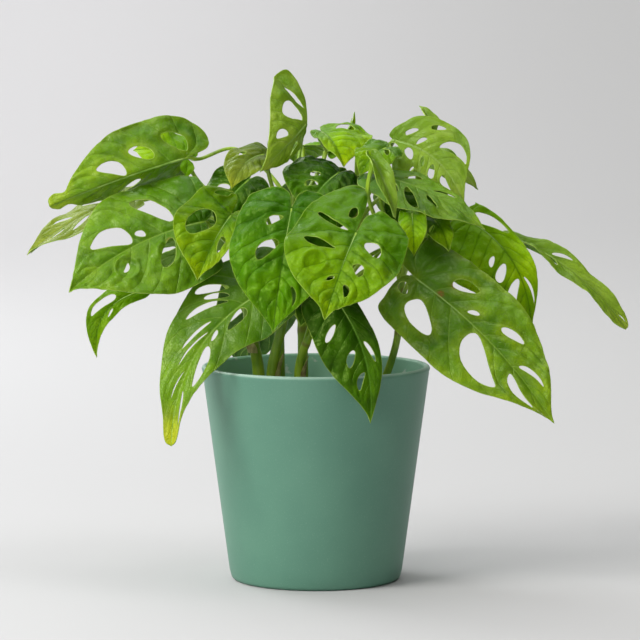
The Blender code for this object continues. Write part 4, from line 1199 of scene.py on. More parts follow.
class SweepTree(GrowingTree):
    """Grows a tube along every line of a mesh, as thick as each point's girth says."""

    NAME = "tube_along_lines"
    INPUTS = {"Sides": "Int", "Groove": "Float"}
    GROOVE_STARTS = 0.62
    GROOVE_SLOPE = -2.2

    def shape(self) -> NodeSocket:
        """Return the tubes, each with a groove along its upper side."""
        add, math_node = self.bench.add, self.bench.math
        girth = add("GeometryNodeInputNamedAttribute", {"Name": "girth"})
        lines = add("GeometryNodeMeshToCurve", {"Mesh": self.given["Geometry"]})
        circle = add("GeometryNodeCurvePrimitiveCircle",
                     {"Resolution": self.given["Sides"], "Radius": 1.0})
        parts = add("ShaderNodeSeparateXYZ", {0: add("GeometryNodeInputPosition").outputs[0]})
        past = math_node("MAXIMUM",
                         math_node("SUBTRACT", parts.outputs[1], self.GROOVE_STARTS), 0.0)
        dent = self.bench.times(self.bench.times(past, self.GROOVE_SLOPE), self.given["Groove"])
        offset = add("ShaderNodeCombineXYZ", {1: dent})
        profile = add("GeometryNodeSetPosition", {"Geometry": circle.outputs["Curve"],
                                                  "Offset": offset.outputs[0]})
        tube = add("GeometryNodeCurveToMesh",
                   {"Curve": lines.outputs[0], "Profile Curve": profile.outputs[0],
                    "Scale": girth.outputs[0], "Fill Caps": True})
        return tube.outputs[0]


class CrumbTree(GrowingTree):
    """Strews rough grains over a surface."""

    NAME = "grains_over_surface"
    INPUTS = {"Density": "Float", "Smallest": "Float", "Largest": "Float", "Seed": "Int"}
    ROUGHNESS_SCALE = 1.3
    FULL_TURN = (6.28, 6.28, 6.28)

    def shape(self) -> NodeSocket:
        """Return the grains, turned and sized at random."""
        add, given = self.bench.add, self.given
        strewn = add("GeometryNodeDistributePointsOnFaces",
                     {"Mesh": given["Geometry"], "Density": given["Density"],
                      "Seed": given["Seed"]}, distribute_method="RANDOM")
        ball = add("GeometryNodeMeshIcoSphere", {"Radius": 1.0, "Subdivisions": 2})
        rough = add("ShaderNodeTexNoise", {"Scale": self.ROUGHNESS_SCALE})
        bump = add("ShaderNodeVectorMath",
                   {0: rough.outputs["Color"], 1: (1.5, 1.5, 1.5), 2: (-0.75, -0.75, -0.75)},
                   operation="MULTIPLY_ADD")
        grain = add("GeometryNodeSetPosition", {"Geometry": ball.outputs["Mesh"],
                                                "Offset": bump.outputs[0]})
        turn = add("FunctionNodeRandomValue", {1: self.FULL_TURN, "Seed": given["Seed"]},
                   data_type="FLOAT_VECTOR")
        size = add("FunctionNodeRandomValue",
                   {2: given["Smallest"], 3: given["Largest"], "Seed": given["Seed"]},
                   data_type="FLOAT")
        placed = add("GeometryNodeInstanceOnPoints",
                     {"Points": strewn.outputs["Points"], "Instance": grain.outputs["Geometry"],
                      "Rotation": turn.outputs[0], "Scale": size.outputs[1]})
        return placed.outputs[0]


def link_object(name: str, mesh: Mesh) -> Object:
    """Put a mesh in the scene as one object at the origin.

    Args:
        name: The object's name.
        mesh: Its mesh.

    Returns:
        The new object.
    """
    thing = bpy.data.objects.new(name, mesh)
    bpy.context.scene.collection.objects.link(thing)
    return thing


def settled_mesh(thing: Object) -> Mesh:
    """Return a plain mesh of the object as its modifiers leave it, and remove the object.

    Args:
        thing: The object.

    Returns:
        The new mesh.
    """
    bpy.context.view_layer.update()
    graph = bpy.context.evaluated_depsgraph_get()
    mesh = bpy.data.meshes.new_from_object(thing.evaluated_get(graph), depsgraph=graph)
    bpy.data.objects.remove(thing, do_unlink=True)
    return mesh


def walled(name: str, mesh: Mesh, thickness: float, offset: float,
           **settings: int) -> Mesh:
    """Give an open sheet its thickness.

    Args:
        name: A name for the sheet.
        mesh: The sheet.
        thickness: How thick it becomes, in metres.
        offset: Which side it grows to: 1 is outwards and -1 is inwards.
        settings: The Solidify modifier's further options.

    Returns:
        The closed mesh.
    """
    thing = link_object(name, mesh)
    wall = thing.modifiers.new("thickness", "SOLIDIFY")
    wall.thickness = thickness
    wall.offset = offset
    for setting, value in settings.items():
        setattr(wall, setting, value)
    return settled_mesh(thing)


def grow(name: str, mesh: Mesh, tree: NodeTree,
         inputs: Mapping[str, Any]) -> Mesh:
    """Run a Geometry Nodes tree on a mesh.

    Args:
        name: The name of the new mesh.
        mesh: The mesh that the tree starts from.
        tree: The node tree.
        inputs: The tree's inputs by name.

    Returns:
        The result as a plain mesh.
    """
    thing = link_object(name, mesh)
    modifier = thing.modifiers.new("grow", "NODES")
    modifier.node_group = tree
    for item in tree.interface.items_tree:
        if item.in_out == "INPUT" and item.name in inputs:
            modifier[item.identifier] = inputs[item.name]
    result = settled_mesh(thing)
    result.name = name
    return result


def lines_mesh(name: str, strands: Iterable["Strand"]) -> Mesh:
    """Make a mesh of loose lines with the girth and looks of each point.

    Args:
        name: The mesh's name.
        strands: The lines.

    Returns:
        The mesh.
    """
    points, edges, traits = [], [], {"girth": [], "shade": [], "ring": []}
    for strand in strands:
        first, count = len(points), len(strand.places)
        points += [tuple(place) for place in strand.places]
        edges += [(first + index, first + index + 1) for index in range(count - 1)]
        traits["girth"] += list(strand.girths)
        traits["shade"] += [strand.shade] * count
        traits["ring"] += list(strand.rings) if strand.rings is not None else [0.0] * count
    mesh = bpy.data.meshes.new(name)
    mesh.from_pydata(points, edges, [])
    for trait, values in traits.items():
        set_trait(mesh, trait, values)
    return mesh


def set_trait(mesh: Mesh, name: str, values: Sequence[float]) -> None:
    """Store one number for each point of a mesh, in the order of the points."""
    layer = mesh.attributes.new(name, "FLOAT", "POINT")
    layer.data.foreach_set("value", np.asarray(values, dtype=np.float32))


def join_meshes(name: str, meshes: Sequence[Mesh]) -> Object:
    """Join meshes into one object, with their finishes and attributes kept.

    Args:
        name: The new object's name.
        meshes: The meshes.

    Returns:
        The object.
    """
    things = [link_object(name, mesh) for mesh in meshes]
    with bpy.context.temp_override(active_object=things[0], object=things[0],
                                   selected_objects=things, selected_editable_objects=things):
        if len(things) > 1:
            bpy.ops.object.join()
    things[0].name = name
    things[0].data.name = name
    return things[0]


def hand_over(piece: Object, slot: str, *nodes: str) -> None:
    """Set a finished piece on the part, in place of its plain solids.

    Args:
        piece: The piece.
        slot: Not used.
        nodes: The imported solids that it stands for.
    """
    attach(piece, BODY)
    if nodes:
        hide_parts(*nodes)
    triangles = sum(len(face.vertices) - 2 for face in piece.data.polygons)
    LOG.info("%s: %d triangles", piece.name, triangles)


@dataclass
class Strand:
    """One line that a tube grows along."""
    places: Array
    girths: Array
    shade: float = 0.0
    rings: Array | None = None


@dataclass
class LeafPiece:
    """One leaf: its fine blade, its margin, and the ribs that stand out underneath."""
    cut: LeafCut
    blade: Blade
    look: LeafLook
    seed: int
    thickness: float = 0.00045
    dome_height: float = 1.25
    crumple_height: float = 1.3
    ruffle_height: float = 5.0
    vein_depth: float = 0.30
    midrib_depth: float = 0.55
    margin_height: float = 0.22

    def build(self, workshop: "Workshop") -> Object:
        """Make the leaf and hand it over.

        Args:
            workshop: The shared finishes and node trees.

        Returns:
            The finished piece.
        """
        name = "leaf_" + self.cut.leaf.name
        blade = self.solid_blade(workshop)
        ribs = grow("ribs", lines_mesh("rib_lines", self.ribs()), workshop.sweep,
                    {"Sides": 6, "Groove": 0.0, "Finish": workshop.rib})
        piece = join_meshes(name + "_fine", [blade, ribs])
        hand_over(piece, "leaf_green", name)
        return piece

    def rough(self, flat: Array, size: float, salt: float) -> Array:
        """Return smooth noise at flat points, with features of so many millimetres."""
        return np.array([noise.noise(Vector((x / size, y / size, self.seed * salt)))
                         for x, y in flat])

    def relief(self, flat: Array, veins: Array) -> Array:
        """Return how far the blade stands proud between its veins, in millimetres.

        Args:
            flat: Points in millimetres.
            veins: The points' vein numbers, and their shares out from the midrib.

        Returns:
            The height of each point.
        """
        number, out = veins
        size = self.look.pucker
        phase = number - np.floor(number)
        dome = np.sin(np.pi * phase) ** 0.8
        cell = np.floor(number) * 2.3 + np.sign(flat[:, 1]) * 1.7 + self.seed
        swell = 0.62 + 0.38 * np.sin(2 * np.pi * out * (1.6 + 0.5 * np.sin(cell)) + 3.1 * cell)
        near_rib = 1 - np.exp(-(flat[:, 1] / 3.2) ** 2)
        near_edge = 1 - 0.75 * np.clip(out, 0, 1) ** 5
        height = self.dome_height * size * dome * swell * near_rib * near_edge
        crumple = self.rough(flat, 8.5, 3.7) + 0.5 * self.rough(flat, 3.8, 1.9)
        height += self.crumple_height * size * crumple * near_rib
        height += self.ruffle_height * self.rough(flat, 21, 5.3) * np.clip(out, 0, 1.2) ** 2
        height -= self.midrib_depth * np.exp(-(flat[:, 1] / 1.3) ** 2)
        groove = np.exp(-((np.minimum(phase, 1 - phase)) / 0.07) ** 2)
        height -= self.vein_depth * size * groove * near_rib
        for ring in self.look.rings:
            off = self.cut.off_mark(ring, flat)
            height += ring.height * np.exp(-((off - ring.radius) / 1.25) ** 2)
            height -= 0.5 * ring.height * np.exp(-(off / (0.75 * ring.radius)) ** 2)
        return height

    def solid_blade(self, workshop: "Workshop") -> Mesh:
        """Make the blade with its thickness.

        Args:
            workshop: The shared finishes.

        Returns:
            The blade's mesh.
        """
        flat, faces = self.cut.triangles()
        places, normals = self.blade.surface(*self.cut.shares(flat).T)
        veins = self.cut.veins_by(flat)
        rim = self.cut.rim_distance(flat)
        height = self.relief(flat, of_half(veins, flat[:, 1])) * np.clip(rim / 1.6, 0.6, 1)
        height += self.margin_height * np.exp(-(rim / 0.7) ** 2)
        places = places + normals * (height * MM)[:, None]
        mesh = bpy.data.meshes.new("blade")
        mesh.from_pydata(places.tolist(), [], self.turned(faces, places, normals))
        self.paint(mesh, flat, rim, height, veins)
        tone = self.look.tone
        # The third finish goes on the cut rims: a painted edge highlight.
        for finish in (workshop.upper[tone], workshop.lower[tone], workshop.margin):
            mesh.materials.append(finish)
        mesh.shade_smooth()
        return walled("blade", mesh, self.thickness, -1.0, material_offset=1,
                      material_offset_rim=2)

    @staticmethod
    def turned(faces: list[list[int]], places: Array, normals: Array) -> list[list[int]]:
        """Return the triangles wound so that they face up from the upper side.

        Args:
            faces: The triangles' corner numbers.
            places: The corners' places.
            normals: Which way the blade faces at each corner.

        Returns:
            The triangles, turned over where they faced down.
        """
        rows = np.array(faces)
        first, second, third = (places[rows[:, corner]] for corner in range(3))
        facing = np.cross(second - first, third - first)
        over = np.sum(facing * normals[rows[:, 0]], axis=1).sum() < 0
        return [row[::-1] if over else row for row in faces]

    def paint(self, mesh: Mesh, flat: Array, rim: Array,
              height: Array, veins: Array) -> None:
        """Store what the finishes read: flat places, veins and the blade's traits.

        Args:
            mesh: The blade's mesh.
            flat: The corners in millimetres.
            rim: The corners' distance from the nearest edge.
            height: The corners' relief.
            veins: The corners' vein numbers and shares out, for each half.
        """
        loops = np.zeros(len(mesh.loops), dtype=int)
        mesh.loops.foreach_get("vertex_index", loops)
        middles = np.repeat(flat[loops.reshape(-1, 3), 1].mean(axis=1), 3)
        for name, spread in (("leaf", flat.T[:, loops] * 0.01),
                             ("veins", of_half(veins[:, :, loops], middles))):
            layer = mesh.uv_layers.new(name=name)
            layer.data.foreach_set("uv", spread.T.astype(np.float32).ravel())
        reach = np.clip(self.cut.shares(flat)[:, 0], 0, 1)
        ripe = self.look.ripe_tip * np.clip((reach - 0.78) / 0.16, 0, 1)
        ripe = ripe + self.look.ripe_edge * np.exp(-(rim / 5.0) ** 2)
        scar = np.zeros(len(flat))
        for mark in self.look.scars:
            scar += np.clip(1.4 - self.cut.off_mark(mark, flat) / mark.radius, 0, 1)
        # The relief's height is stored as well, for the finish to paint light on the puckers' crowns
        # and shade in their hollows.
        for name, values in (("rim", rim), ("hill", np.clip(0.5 + 0.6 * height, 0, 1)),
                             ("reach", reach), ("ripe", ripe), ("scar", np.clip(scar, 0, 1))):
            set_trait(mesh, name, values)

    def ribs(self) -> list[Strand]:
        """Return the midrib and the side veins that stand out under the blade.

        Returns:
            One line for each rib.
        """
        along = np.linspace(0.0, 0.97, 30)
        strands = [self.rib(self.cut.flat(np.column_stack((along, 0 * along))),
                            0.00095 * (1 - along) ** 0.8 + 0.00018)]
        out = np.linspace(0.0, 0.86, 16)
        for side in Side:
            for root in self.cut.roots[side]:
                line = self.cut.on_vein(side, np.full(16, root), out)
                kept = self.cut.material_at(line) & (self.cut.rim_distance(line) > 0.5)
                kept[0] = True
                stop = int(np.argmin(kept)) if not kept.all() else len(kept)
                if stop < 4:
                    continue
                girth = (0.00036 * (1 - out) + 0.0001) * (1 - 0.5 * root)
                strands.append(self.rib(line[:stop], girth[:stop]))
        return strands

    def rib(self, line: Array, girths: Array) -> Strand:
        """Return one rib, sunk half in the underside.

        Args:
            line: The rib's flat places in millimetres.
            girths: Its radius at each place, in metres.

        Returns:
            The rib's line in space.
        """
        places, normals = self.blade.surface(*self.cut.shares(line).T)
        height = self.relief(line, of_half(self.cut.veins_by(line), line[:, 1])) * MM
        depth = self.thickness + 0.35 * girths
        return Strand(places + normals * (height - depth)[:, None], girths)


@dataclass
class VinePiece:
    """One vine with the stalks of its leaves, grown as tubes along their centre lines."""
    vine: Vine
    blades: Sequence[Blade]
    seed: int
    steps: int = 70
    stalk_steps: int = 40
    stalk_foot: float = 0.0021
    stalk_taper: float = 0.0008
    knee: float = 0.00035
    root_girths: tuple[float, float] = (0.0011, 0.0006)

    def centre_line(self) -> Array:
        """Return the vine's centre line, straight in the soil and curved above it."""
        x, y = self.vine.foot
        ground = (SOIL_TOP + SOIL_UNEVEN + TOUCH_GAP) / MM
        run = catmull_rom([(x, y, ground), *self.vine.climbs], self.steps) * MM
        rooted = np.array((x * MM, y * MM, SOIL_TOP - ROOTED_DEPTH / 2))
        return np.vstack((rooted, run))

    def joint(self, share: float) -> Array:
        """Return where a stalk leaves the vine.

        Args:
            share: How far up the vine that is, from 0 to 1.

        Returns:
            The place.
        """
        line = self.centre_line()
        place = 1 + share * (len(line) - 2)
        below = min(int(place), len(line) - 2)
        return line[below] + (line[below + 1] - line[below]) * (place - below)

    def stem(self) -> Strand:
        """Return the vine itself, swollen where each stalk leaves it."""
        line = self.centre_line()
        share = np.linspace(0, 1, len(line))
        girth = self.vine.radius * MM * (1 - 0.35 * share)
        ring = np.zeros(len(line))
        for blade in self.blades:
            near = np.exp(-((share - blade.leaf.joint) / 0.02) ** 2)
            girth = girth * (1 + 0.10 * near)
            ring = np.maximum(ring, near)
        girth[-1] *= 0.3
        return Strand(line, girth, 0.15 + 0.3 * (self.seed % 3) / 2, ring)

    def stalk(self, blade: Blade, index: int) -> Strand:
        """Return one leaf stalk, from the vine to the notch of its blade.

        Args:
            blade: The blade that the stalk carries.
            index: The stalk's number on the vine.

        Returns:
            The stalk's line.
        """
        leaf = blade.leaf
        joint = self.joint(leaf.joint)
        centres, forwards, _, ups = blade.frames(np.array([0.0]))
        base, forward, up = centres[0], forwards[0], ups[0]
        end = base - up * (BLADE_THICKNESS + STALK_CLEARANCE) - forward * STALK_RADIUS
        way = unit(end - joint)
        leave = np.array((0, 0, 1)) + way * STALK_LEAN
        arrive = up * STALK_RISE + forward * STALK_FOLLOW + way * STALK_LEAN
        knots = [joint, end]
        if leaf.stalk_via:
            knots.insert(1, np.array(leaf.stalk_via) * MM)
        run = bent_run(np.array(knots), leave, arrive, self.stalk_steps)
        run = np.vstack((run, base + forward * 0.0015 - up * 0.0012,
                         base + forward * 0.0045 - up * 0.0011))
        share = np.linspace(0, 1, len(run))
        girth = self.stalk_foot - self.stalk_taper * np.minimum(share / 0.4, 1)
        girth += self.knee * np.exp(-((share - 0.93) / 0.05) ** 2)
        girth[-2:] = self.root_girths
        ring = np.exp(-(share / 0.03) ** 2)
        return Strand(run, girth, 0.45 * ((self.seed + 2 * index) % 4) / 3, ring)

    def build(self, workshop: "Workshop") -> Object:
        """Grow the vine and its stalks and hand them over.

        Args:
            workshop: The shared finishes and node trees.

        Returns:
            The finished piece.
        """
        stem = grow("stem", lines_mesh("stem_line", [self.stem()]), workshop.sweep,
                    {"Sides": 24, "Groove": 0.0, "Finish": workshop.stalk})
        stalks = [self.stalk(blade, index) for index, blade in enumerate(self.blades)]
        parts = [stem]
        if stalks:
            parts.append(grow("stalks", lines_mesh("stalk_lines", stalks), workshop.sweep,
                              {"Sides": 14, "Groove": 0.5, "Finish": workshop.stalk}))
        name = "vine_" + self.vine.name
        piece = join_meshes(name + "_fine", parts)
        hand_over(piece, "stem_green", name)
        return piece


@dataclass
class SheathPiece:
    """One dry sheath, thin and crumpled, with a torn upper edge."""
    sheath: Sheath
    vine: VinePiece
    seed: int
    columns: int = 56
    rows: int = 34
    thickness: float = 0.00022

    def build(self, workshop: "Workshop") -> Object:
        """Make the sheath and hand it over.

        Args:
            workshop: The shared finishes.

        Returns:
            The finished piece.
        """
        sheath = self.sheath
        line = self.vine.centre_line()
        torn = np.interp(np.linspace(0, len(sheath.torn) - 1, self.columns),
                         np.arange(len(sheath.torn)), sheath.torn)
        points = []
        for column in range(self.columns):
            turn = math.radians(sheath.starts + sheath.arc * column / (self.columns - 1))
            frayed = 0.09 * noise.noise(Vector((column * 0.55, self.seed, 2.0)))
            reach = (sheath.high - sheath.low) * (torn[column] + frayed)
            for row in range(self.rows):
                share = row / (self.rows - 1)
                height = (sheath.low + reach * share) * MM
                centre = np.array([np.interp(height, line[:, 2], line[:, axis])
                                   for axis in range(3)])
                crumple = noise.noise(Vector((math.cos(turn) * 2.2, math.sin(turn) * 2.2,
                                              height * 260 + self.seed)))
                flare = sheath.radius * MM * (1 + SHEATH_FLARE * share) + 0.0004 * crumple * share
                arm = np.array((math.cos(turn), math.sin(turn), 0)) * flare
                points.append(tuple(centre + arm))
        faces = []
        for column in range(self.columns - 1):
            for row in range(self.rows - 1):
                corner = column * self.rows + row
                faces.append((corner, corner + self.rows, corner + self.rows + 1, corner + 1))
        name = "dry_sheath_" + sheath.vine
        mesh = bpy.data.meshes.new(name + "_fine")
        mesh.from_pydata(points, [], faces)
        mesh.materials.append(workshop.paper)
        mesh.shade_smooth()
        piece = link_object(name + "_fine", walled(name, mesh, self.thickness, 1.0))
        hand_over(piece, "dry_sheath", name)
        return piece


def turned_mesh(name: str, profile: Array, segments: int) -> Mesh:
    """Turn a profile of radius and height about the Z axis.

    Args:
        name: The mesh's name.
        profile: The profile's points, closed on the axis at both ends.
        segments: How many steps go round.

    Returns:
        The closed mesh.
    """
    shape = bmesh.new()
    points = [shape.verts.new((radius, 0.0, height)) for radius, height in profile]
    edges = [shape.edges.new(pair) for pair in zip(points, points[1:])]
    bmesh.ops.spin(shape, geom=points + edges, axis=(0, 0, 1), cent=(0, 0, 0), steps=segments,
                   angle=2 * math.pi, use_merge=True, use_normal_flip=False)
    bmesh.ops.remove_doubles(shape, verts=shape.verts, dist=1e-7)
    bmesh.ops.recalc_face_normals(shape, faces=shape.faces)
    shape.verts.index_update()
    count = len(shape.verts)

    def rank(face: bmesh.types.BMFace) -> int:
        """Return a face's number in one fixed order, by its three lowest corners."""
        low, middle, high = sorted(point.index for point in face.verts)[:3]
        return (low * count + middle) * count + high

    shape.faces.sort(key=rank)
    mesh = bpy.data.meshes.new(name)
    shape.to_mesh(mesh)
    shape.free()
    mesh.shade_smooth()
    return mesh


def arc(centre: tuple[float, float], radius: float, start: float, end: float,
        steps: int) -> list[tuple[float, float]]:
    """Return so many points of a profile on an arc between two angles in degrees."""
    return [(centre[0] + radius * math.cos(math.radians(angle)),
             centre[1] + radius * math.sin(math.radians(angle)))
            for angle in np.linspace(start, end, steps)]


@dataclass
class CoverPot:
    """The glazed cover pot: a plain tapered cup with a rounded lip."""
    height: float = 0.130
    rim_radius: float = 0.069
    base_radius: float = 0.0516
    wall: float = 0.0038
    floor: float = 0.005
    foot_round: float = 0.0032
    segments: int = 160

    def profile(self) -> list[tuple[float, float]]:
        """Return the pot's section, from the underside's centre round to the floor's."""
        slope = (self.rim_radius - self.base_radius) / self.height
        lip = self.wall / 2
        inner_base = self.base_radius + slope * self.floor - self.wall
        ring = self.base_radius - 0.007
        points = [(0.0, 0.0012), (ring - 0.004, 0.0012), (ring - 0.0012, 0.0004), (ring, 0.0)]
        foot = (self.base_radius - self.foot_round, self.foot_round)
        points += arc(foot, self.foot_round, -90, -math.degrees(math.atan(slope)), 9)
        wall = [(self.base_radius + slope * height, height)
                for height in np.linspace(0.006, self.height - 0.004, 24)]
        points += wall
        points += arc((self.rim_radius - lip, self.height - lip), lip, 0, 180, 13)
        inner = [(self.rim_radius - self.wall - slope * (self.height - height), height)
                 for height in np.linspace(self.height - 0.004, self.floor + 0.005, 20)]
        points += inner
        points += arc((inner_base - 0.0035, self.floor + 0.0035), 0.0035, 0, -90, 6)
        points.append((0.0, self.floor))
        return points

    def build(self, workshop: "Workshop") -> Object:
        """Make the pot and hand it over.

        Args:
            workshop: The shared finishes.

        Returns:
            The finished piece.
        """
        mesh = turned_mesh("cover_pot", self.profile(), self.segments)
        heights = np.array([point.co.z for point in mesh.vertices])
        radii = np.array([math.hypot(point.co.x, point.co.y) for point in mesh.vertices])
        # Masks that the glaze reads: the outer lip for its painted highlight, the inner wall for its
        # painted light.
        lip = np.clip((heights - (self.height - 0.0016)) / 0.0010, 0, 1)
        outer = np.clip((radii - (self.rim_radius - self.wall)) / 0.002, 0, 1)
        set_trait(mesh, "lip", lip * outer)
        slope = (self.rim_radius - self.base_radius) / self.height
        wall_middle = self.rim_radius - self.wall / 2 - slope * (self.height - heights)
        set_trait(mesh, "inner", np.clip((wall_middle - radii) / 0.0005, 0, 1) * (heights > 0.006))
        mesh.materials.append(workshop.glaze)
        piece = link_object("cover_pot", mesh)
        hand_over(piece, "pot_glaze", "pot")
        return piece


@dataclass
class NurseryPot:
    """The thin black nursery pot that stands inside the cover pot."""
    height: float = 0.107
    rim_radius: float = 0.0585
    base_radius: float = 0.0415
    lip: float = 0.0022
    lip_height: float = 0.006
    wall: float = 0.0012
    low: float = 0.0053
    drain_radius: float = 0.004
    drain_ring: float = 0.026
    drains: int = 5
    segments: int = 96

    def profile(self) -> list[tuple[float, float]]:
        """Return the pot's section, from the underside's centre round to the floor's."""
        slope = (self.rim_radius - self.base_radius) / self.height
        top = self.low + self.height
        foot = top - self.lip_height
        at_foot = self.base_radius + slope * (self.height - self.lip_height)
        outer = self.rim_radius + self.lip
        points = [(0.0, self.low), (self.base_radius - 0.002, self.low)]
        points += [(self.base_radius, self.low + 0.002), (at_foot, foot - 0.0005)]
        points += [(at_foot + 0.0006, foot), (outer - 0.0005, foot), (outer, foot + 0.0005)]
        points += arc((outer - 0.0007, top - 0.0007), 0.0007, 0, 90, 5)
        points += arc((self.rim_radius - self.wall + 0.0007, top - 0.0007), 0.0007, 90, 180, 5)
        points += [(self.base_radius - self.wall, self.low + 0.003),
                   (self.base_radius - self.wall - 0.002, self.low + self.wall)]
        points.append((0.0, self.low + self.wall))
        return points

    def build(self, workshop: "Workshop") -> Object:
        """Make the nursery pot with its drain holes and hand it over.

        Args:
            workshop: The shared finishes.

        Returns:
            The finished piece.
        """
        cup = link_object("cup", turned_mesh("cup", self.profile(), self.segments))
        drill = bmesh.new()
        for index in range(self.drains):
            turn = 2 * math.pi * index / self.drains
            made = bmesh.ops.create_cone(drill, cap_ends=True, segments=24,
                                         radius1=self.drain_radius, radius2=self.drain_radius,
                                         depth=8 * self.wall)
            shift = Vector((self.drain_ring * math.cos(turn), self.drain_ring * math.sin(turn),
                            self.low))
            bmesh.ops.translate(drill, verts=made["verts"], vec=shift)
        cutter_mesh = bpy.data.meshes.new("drills")
        drill.to_mesh(cutter_mesh)
        drill.free()
        cutter = link_object("drills", cutter_mesh)
        step = cup.modifiers.new("drains", "BOOLEAN")
        step.operation = "DIFFERENCE"
        step.object = cutter
        mesh = settled_mesh(cup)
        bpy.data.objects.remove(cutter, do_unlink=True)
        mesh.materials.clear()
        mesh.materials.append(workshop.plastic)
        mesh.shade_smooth()
        mesh.set_sharp_from_angle(angle=math.radians(35))
        piece = link_object("nursery_pot", mesh)
        hand_over(piece, "nursery_plastic", "grow_pot")
        return piece


@dataclass
class SoilBed:
    """Damp peat in the nursery pot, with loose crumbs and perlite on top."""
    top: float = 0.104
    low: float = 0.0068
    base_radius: float = 0.0400
    top_radius: float = 0.0565
    rings: int = 46
    segments: int = 150
    uneven: float = 0.0022

    def profile(self) -> list[tuple[float, float]]:
        """Return the plug's section, from the underside's centre up and in again."""
        points = [(0.0, self.low), (self.base_radius - 0.001, self.low),
                  (self.base_radius, self.low + 0.001)]
        points.append((self.top_radius, self.top - 0.001))
        points += [(self.top_radius * share, self.top)
                   for share in np.linspace(0.99, 0.0, self.rings)]
        return points

    def build(self, workshop: "Workshop") -> list[Object]:
        """Make the soil with its crumbs and perlite and hand them over.

        Args:
            workshop: The shared finishes and node trees.

        Returns:
            The finished pieces.
        """
        mesh = turned_mesh("soil_bed", self.profile(), self.segments)
        for point in mesh.vertices:
            x, y, z = point.co
            if z > self.top - 1e-4 and math.hypot(x, y) < self.top_radius * 0.985:
                wave = (math.sin(210 * x + 1.3) + math.cos(170 * y - 60 * x)) / 2
                rough = (0.0016 * noise.noise(Vector((x * 150, y * 150, 3.0)))
                         + 0.0009 * noise.noise(Vector((x * 420, y * 420, 8.0))))
                point.co.z += self.uneven * wave + rough
        mesh.materials.append(workshop.earth)
        bed = link_object("soil_bed", mesh)
        hand_over(bed, "potting_soil", "soil")
        pieces = [bed]
        for name, density, small, large, seed, finish in (
                ("soil_crumbs", 225000.0, 0.0006, 0.0019, 5, workshop.earth),
                ("soil_perlite", 11000.0, 0.0007, 0.0017, 9, workshop.perlite)):
            grains = grow(name, self.top_skin(mesh), workshop.crumbs,
                          {"Density": density, "Smallest": small, "Largest": large,
                           "Seed": seed, "Finish": finish})
            piece = link_object(name, grains)
            hand_over(piece, "potting_soil")
            pieces.append(piece)
        return pieces

    def top_skin(self, mesh: Mesh) -> Mesh:
        """Return only the upper surface of the soil, which grains are strewn on.

        Args:
            mesh: The whole bed of soil.

        Returns:
            The open upper surface.
        """
        shape = bmesh.new()
        shape.from_mesh(mesh)
        under = [face for face in shape.faces
                 if face.calc_center_median().z < self.top - 0.006
                 or face.calc_center_median().xy.length > self.top_radius - 0.0025]
        bmesh.ops.delete(shape, geom=under, context="FACES")
        skin = bpy.data.meshes.new("soil_skin")
        shape.to_mesh(skin)
        shape.free()
        return skin


class Workshop:
    """The shared finishes and node trees."""

    def __init__(self) -> None:
        """Make every finish and tree once."""
        self.upper = {tone: tone.value.upper() for tone in LeafTone}
        self.lower = {tone: tone.value.lower() for tone in LeafTone}
        self.rib = RibFinish("leaf_rib", 160.0, srgb(150, 184, 82), srgb(112, 156, 46)).build()
        # The blades' cut rims take a pale finish, a painted edge highlight.
        self.margin = RibFinish("leaf_edge_highlight", 220.0, EDGE_HIGHLIGHT_COLOUR, srgb(116, 158, 34)).build()
        self.stalk = StalkFinish().build()
        self.paper = PaperFinish().build()
        self.glaze = GlazeFinish().build()
        self.plastic = NurseryPlasticFinish().build()
        self.earth = EarthFinish().build()
        self.perlite = PerliteFinish().build()
        self.sweep = SweepTree().tree
        self.crumbs = CrumbTree().tree


@dataclass
class Plant:
    """The vines, their sheaths and all their leaves."""
    wave_seed: int = 7

    def build(self, workshop: Workshop) -> None:
        """Build every leaf, vine and sheath.

        Args:
            workshop: The shared finishes and node trees.
        """
        phases = random.Random(self.wave_seed)
        blades = [Blade(leaf, phases.uniform(0, 6)) for leaf in LEAVES]
        for seed, blade in enumerate(blades):
            cut = LeafCut(blade.leaf, seed)
            LeafPiece(cut, blade, LOOKS[blade.leaf.name], seed).build(workshop)
        vines = {}
        for seed, vine in enumerate(VINES):
            own = [blade for blade in blades if blade.leaf.vine == vine.name]
            vines[vine.name] = VinePiece(vine, own, seed)
            vines[vine.name].build(workshop)
        for seed, sheath in enumerate(SHEATHS):
            SheathPiece(sheath, vines[sheath.vine], seed).build(workshop)


